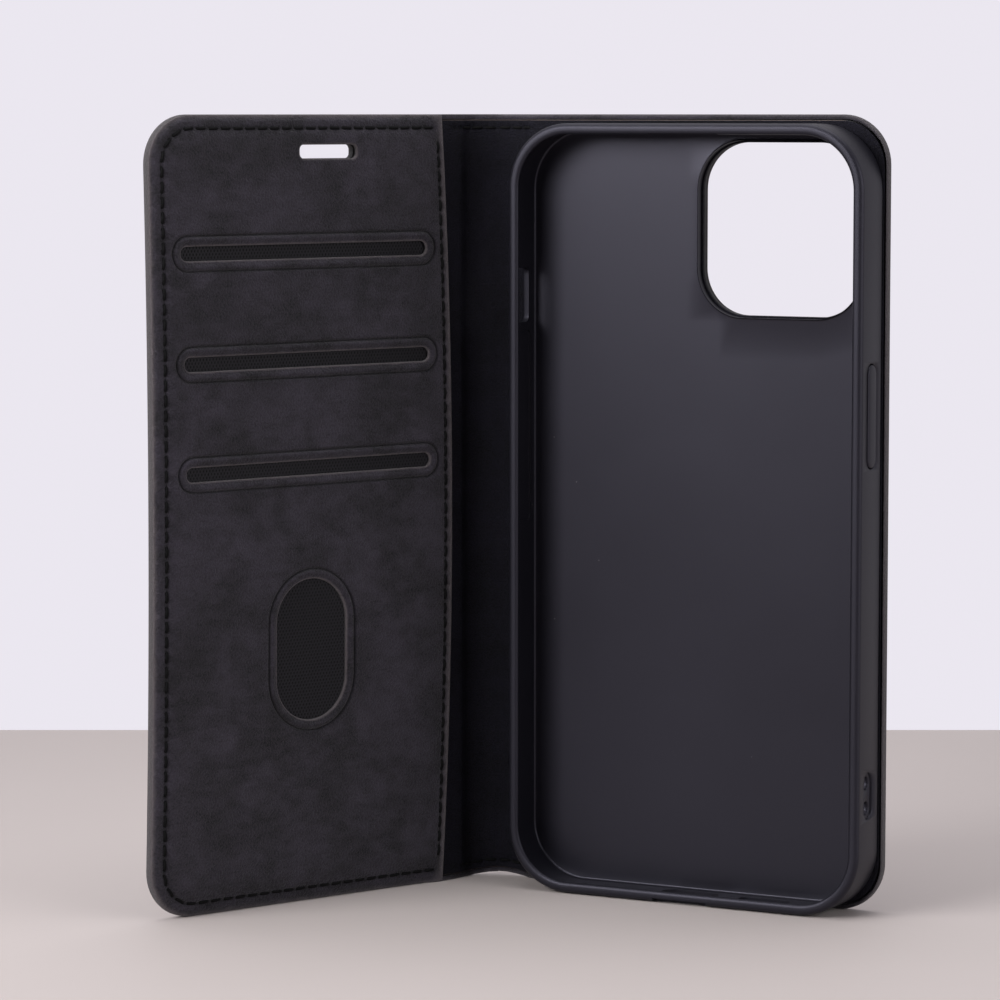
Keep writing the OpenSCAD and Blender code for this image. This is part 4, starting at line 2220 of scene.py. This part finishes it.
@dataclass(frozen=True)
class StitchRow:
    """A seam on one face of the cover, with the level of the leather under its stitches."""

    seam: Seam
    wing: Wing
    side: Side
    level: Callable[[Array], Array]

    def marks(self) -> tuple[Array, Array, Array, Array]:
        """Each stitch's place, direction and outward direction, and its q.

        Returns:
            The four lists, with one row for each stitch.
        """
        run = self.seam.run()
        flat = run[::4]
        along = np.gradient(run, axis=0)[::4]
        along /= np.hypot(*along.T)[:, None]
        ends = []
        for shift in (-0.5, 0.5):
            p = flat + along * shift
            ends.append(self.wing.place(p[:, 0], p[:, 1], self.level(p)))
        place = (ends[0] + ends[1]) / 2
        return place, ends[1] - ends[0], self.wing.outward(flat[:, 0], self.side), flat[:, 0]


@dataclass
class Stitching:
    """Short sewn stitches sunk in the leather, one piece for each seam and body."""

    parts: CaseParts
    book: LeatherBook
    pockets: CardPockets
    length: float = 1.9
    thick: float = 0.6
    arch: float = 0.08
    sink: float = 0.26
    seed: int = 7

    def tree(self) -> bpy.types.NodeTree:
        """The node tree that sets a stitch on every mark.

        Returns:
            The node tree.
        """
        group = bpy.data.node_groups.new("sewn_stitches", "GeometryNodeTree")
        interface = group.interface
        interface.new_socket(name="Marks", in_out="INPUT", socket_type="NodeSocketGeometry")
        for name in ("Length", "Thickness", "Arch", "Sink"):
            interface.new_socket(name=name, in_out="INPUT", socket_type="NodeSocketFloat")
        interface.new_socket(name="Seed", in_out="INPUT", socket_type="NodeSocketInt")
        interface.new_socket(name="Material", in_out="INPUT", socket_type="NodeSocketMaterial")
        interface.new_socket(name="Stitches", in_out="OUTPUT", socket_type="NodeSocketGeometry")
        tree = Tree(group)
        given = tree.add("NodeGroupInput").outputs
        half = tree.math("MULTIPLY", given["Length"], 0.5)
        low = tree.math("MULTIPLY", given["Sink"], -1.0)
        start = tree.add("ShaderNodeCombineXYZ", {"X": tree.math("MULTIPLY", half, -1.0), "Z": low})
        middle = tree.add("ShaderNodeCombineXYZ", {"Z": given["Arch"]})
        end = tree.add("ShaderNodeCombineXYZ", {"X": half, "Z": low})
        inputs = {
            "Resolution": 8,
            "Start": start.outputs[0],
            "Middle": middle.outputs[0],
            "End": end.outputs[0],
        }
        path = tree.add("GeometryNodeCurveQuadraticBezier", inputs)
        radius = tree.math("MULTIPLY", given["Thickness"], 0.5)
        ring = tree.add("GeometryNodeCurvePrimitiveCircle", {"Resolution": 8, "Radius": radius})
        body = tree.add(
            "GeometryNodeCurveToMesh",
            {"Curve": path.outputs[0], "Profile Curve": ring.outputs[0], "Fill Caps": True},
        )
        face = tree.add(
            "GeometryNodeInputNamedAttribute", {"Name": "face_out"}, data_type="FLOAT_VECTOR"
        )
        along = tree.add(
            "GeometryNodeInputNamedAttribute", {"Name": "along"}, data_type="FLOAT_VECTOR"
        )
        up = tree.add("FunctionNodeAlignRotationToVector", {"Vector": face.outputs[0]}, axis="Z")
        turned = tree.add(
            "FunctionNodeAlignRotationToVector",
            {"Rotation": up.outputs[0], "Vector": along.outputs[0]},
            axis="X",
            pivot_axis="Z",
        )
        skew = tree.add(
            "FunctionNodeRandomValue",
            {0: (0.0, 0.0, -0.07), 1: (0.0, 0.0, 0.07), "Seed": given["Seed"]},
            data_type="FLOAT_VECTOR",
        )
        spin = tree.add(
            "FunctionNodeRotateRotation",
            {0: turned.outputs[0], 1: skew.outputs[0]},
            rotation_space="LOCAL",
        )
        size = tree.add(
            "FunctionNodeRandomValue",
            {0: (0.93, 0.9, 0.9), 1: (1.05, 1.08, 1.05), "Seed": given["Seed"]},
            data_type="FLOAT_VECTOR",
        )
        instances = tree.add(
            "GeometryNodeInstanceOnPoints",
            {
                "Points": given["Marks"],
                "Instance": body.outputs[0],
                "Rotation": spin.outputs[0],
                "Scale": size.outputs[0],
            },
        )
        real = tree.add("GeometryNodeRealizeInstances", {0: instances.outputs[0]})
        shaded = tree.add("GeometryNodeSetShadeSmooth", {0: real.outputs[0]})
        finished = tree.add(
            "GeometryNodeSetMaterial",
            {"Geometry": shaded.outputs[0], "Material": given["Material"]},
        )
        tree.add("NodeGroupOutput", {0: finished.outputs[0]})
        return group

    def piece(
        self, name: str, node: str, body: str, rows: Sequence[StitchRow], tree: bpy.types.NodeTree
    ) -> bpy.types.Object:
        """One body's stitches.

        Args:
            name: The piece's name.
            node: The CAD thread that it stands for.
            body: The body that it rides on.
            rows: Its seams.
            tree: The node tree that makes the stitches.

        Returns:
            The stitches as one plain mesh.
        """
        marks = [row.marks() for row in rows]
        keeps = [(q < 0 if body == "spine" else q >= 0) for _, _, _, q in marks]
        place, along, face = (
            np.concatenate([m[i][keep] for m, keep in zip(marks, keeps)]) for i in range(3)
        )
        piece = mesh_object(name, place, [])
        store(piece, "along", along)
        store(piece, "face_out", face)
        sewn = piece.modifiers.new("sewn", "NODES")
        sewn.node_group = tree
        values = {
            "Length": self.length * MM,
            "Thickness": self.thick * MM,
            "Arch": (self.arch * 2 + self.sink) * MM,
            "Sink": self.sink * MM,
            "Seed": self.seed,
            "Material": self.parts.finishes.thread,
        }
        for socket in tree.interface.items_tree:
            if socket.name in values and socket.in_out == "INPUT":
                sewn[socket.identifier] = values[socket.name]
        settle(piece)
        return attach(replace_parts(piece, node), body)

    def outside(self, wing: Wing) -> StitchRow:
        """The seam on a cover's outer face."""
        seam = self.book.outer_seam(wing)
        return StitchRow(
            seam, wing, Side.OUTSIDE, lambda p: np.full(len(p), 0.1 - self.parts.layers.skin)
        )

    def inside(self, wing: Wing) -> list[StitchRow]:
        """The seams on the spine's lining.

        Args:
            wing: The half of the cover that it belongs to.

        Returns:
            One row of stitches for each seam.
        """
        return [
            StitchRow(seam, wing, Side.INSIDE, lambda p: self.book.lining_face(p) - 0.08)
            for seam in self.book.lining_seams(wing)
        ]

    def build(self) -> list[bpy.types.Object]:
        """Makes the stitching.

        Returns:
            The pieces.
        """
        tree = self.tree()
        front, back = self.parts.front, self.parts.back
        around, beside = (
            StitchRow(seam, front, Side.INSIDE, lambda p: self.pockets.face(p) - 0.1)
            for seam in self.pockets.seams()
        )
        outside = {w.front: self.outside(w) for w in (front, back)}
        spine = [outside[True], outside[False], *self.inside(front), *self.inside(back)]
        return [
            self.piece(
                "stitching_front", "thread_front", "front_cover", [around, outside[True]], tree
            ),
            self.piece("stitching_pocket", "thread_pocket", "front_cover", [beside], tree),
            self.piece("stitching_back", "thread_back", "back_cover", [outside[False]], tree),
            self.piece("stitching_spine", "thread_spine", "spine", spine, tree),
        ]


# ---- the set ----


@dataclass(frozen=True)
class SoftLight:
    """A large soft light."""

    name: str
    place: tuple[float, float, float]
    aim: tuple[float, float, float]
    size: tuple[float, float]
    watts: float
    colour: Colour = (1.0, 1.0, 1.0)
    spread: float = 180.0

    def build(self) -> bpy.types.Object:
        """Makes the light.

        Returns:
            The light.
        """
        data = bpy.data.lights.new(self.name, "AREA")
        data.shape = "RECTANGLE"
        data.size, data.size_y = self.size
        data.energy, data.color = self.watts, self.colour
        data.spread = math.radians(self.spread)
        lamp = bpy.data.objects.new(self.name, data)
        lamp.location = self.place
        lamp.rotation_euler = (Vector(self.aim) - Vector(self.place)).to_track_quat(
            "-Z", "Y"
        ).to_euler()
        bpy.context.scene.collection.objects.link(lamp)
        return lamp


@dataclass
class Studio:
    """The pale table, the pale surroundings, the lights and the camera."""

    eye: tuple[float, float, float] = (0.36005, -0.68675, 0.15230)
    look: tuple[float, float, float] = (-0.4665, 0.8796, -0.0936)
    lens: float = 149.3
    far_edge: float = 1.0136
    table_colour: Colour = (0.440, 0.394, 0.382)
    surround: Colour = (0.83, 0.80, 0.87)
    room: Colour = (0.56, 0.54, 0.58)
    dim_room: Colour = (0.07, 0.067, 0.076)
    lights: tuple[SoftLight, ...] = (
        SoftLight("overhead_light", (-0.05, 0.05, 1.1), (0.0, 0.0, 0.05), (1.0, 1.0), 7.6),
        SoftLight("front_light", (-0.42, -0.80, 0.48), (0.0, 0.0, 0.09), (0.5, 0.4), 2.0),
        SoftLight(
            "low_light", (-0.22, -0.44, 0.31), (0.03, 0.03, 0.12), (0.42, 0.26), 1.1, spread=100.0
        ),
        SoftLight("right_light", (0.75, -0.12, 0.28), (0.0, 0.0, 0.06), (0.6, 0.4), 2.5),
    )

    def camera(self) -> None:
        """Sets up the camera."""
        data = bpy.data.cameras.new("camera")
        data.lens, data.sensor_width = self.lens, 36.0
        data.clip_start, data.clip_end = 0.01, 20.0
        camera = bpy.data.objects.new("camera", data)
        camera.location = self.eye
        camera.rotation_euler = Vector(self.look).to_track_quat("-Z", "Y").to_euler()
        bpy.context.scene.collection.objects.link(camera)
        bpy.context.scene.camera = camera

    def table(self) -> bpy.types.Object:
        """Makes the pale table.

        Returns:
            The table.
        """
        eye = np.array(self.eye[:2])
        ahead = np.array(self.look[:2]) / np.hypot(*self.look[:2])
        side = np.array([ahead[1], -ahead[0]])
        corners = [
            eye + ahead * reach + side * across
            for reach, across in (
                (-2.0, -1.8), (-2.0, 1.8), (self.far_edge, 1.8), (self.far_edge, -1.8)
            )
        ]
        points = np.array([(x, y, 0.0) for x, y in corners]) / MM
        table = mesh_object("table", points, [[0, 1, 2, 3]])
        material, tree, shader = new_material("pale_table")
        cloud = tree.fit(tree.noise(object_place(tree), 9.0, 4.0), 0.3, 0.7)
        low = tuple(0.97 * c for c in self.table_colour)
        tree.link(tree.blend(cloud, low, self.table_colour), shader.inputs["Base Color"])
        shader.inputs["Roughness"].default_value = 0.62
        shader.inputs["Specular IOR Level"].default_value = 0.3
        table.data.materials.append(material)
        table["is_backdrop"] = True
        return table

    def world(self) -> None:
        """Sets the plain pale surroundings."""
        world = bpy.data.worlds.new("surroundings")
        world.use_nodes = True
        tree = Tree(world.node_tree)
        towards = tree.add("ShaderNodeTexCoord").outputs["Generated"]
        front = tree.add(
            "ShaderNodeVectorMath", {0: towards, 1: (0.4665, -0.8796, 0.0)}, operation="DOT_PRODUCT"
        )
        dim = tree.fit(front.outputs["Value"], -0.1, 0.8)
        lit = tree.blend(dim, self.room, self.dim_room)
        seen = tree.add("ShaderNodeLightPath").outputs["Is Camera Ray"]
        back = tree.add(
            "ShaderNodeBackground", {"Color": tree.blend(seen, lit, self.surround), "Strength": 1.0}
        )
        tree.add("ShaderNodeOutputWorld", {"Surface": back.outputs[0]})
        scene = bpy.context.scene
        scene.world = world
        scene.view_settings.view_transform = "Standard"

    def build(self) -> None:
        """Makes the set."""
        self.camera()
        self.table()
        self.world()
        for light in self.lights:
            light.build()


# ---- the whole case ----


def carried(name: str, material: bpy.types.Material) -> None:
    """Gives a CAD node that stays its material.

    Args:
        name: Its name.
        material: Its material.
    """
    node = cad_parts[name]
    node.data.materials.clear()
    node.data.materials.append(material)
    log.info("kept %s", name)


def corners() -> list[list[float]]:
    """The shown object's box as plain lists."""
    return [list(map(float, corner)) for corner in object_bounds()]


def main() -> None:
    """Builds the case and its set."""
    logging.basicConfig(level=logging.INFO, format="%(name)s: %(message)s")
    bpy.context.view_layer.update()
    layers = Layers()
    plan = PlanLine(back_crease=(-15.980, 36.783), front_crease=(-30.231, 31.792))
    parts = CaseParts(
        layers=layers,
        front=Wing(plan, layers, True, warp=(0.62, 1.6, 0.15)),
        back=Wing(plan, layers, False),
        finishes=Finishes(),
        camera=RoundBox(54.1, 129.7, 33.4, 33.0, 9.0),
        earpiece=RoundBox(33.8, 144.45, 13.4, 2.6, 0.95),
    )
    Studio().build()
    book, pockets, tray = LeatherBook(parts), CardPockets(parts), PhoneTray(parts)
    made = [
        *book.build(),
        *Stiffeners(parts).build(),
        *pockets.build(),
        tray.build(),
        *SideKeys(tray).build(),
        *Stitching(parts, book, pockets).build(),
    ]
    for piece in made:
        log.info("%s: %d faces", piece.name, len(piece.data.polygons))
    carried("bonding_film", parts.finishes.film)


if __name__ == "__main__":
    main()
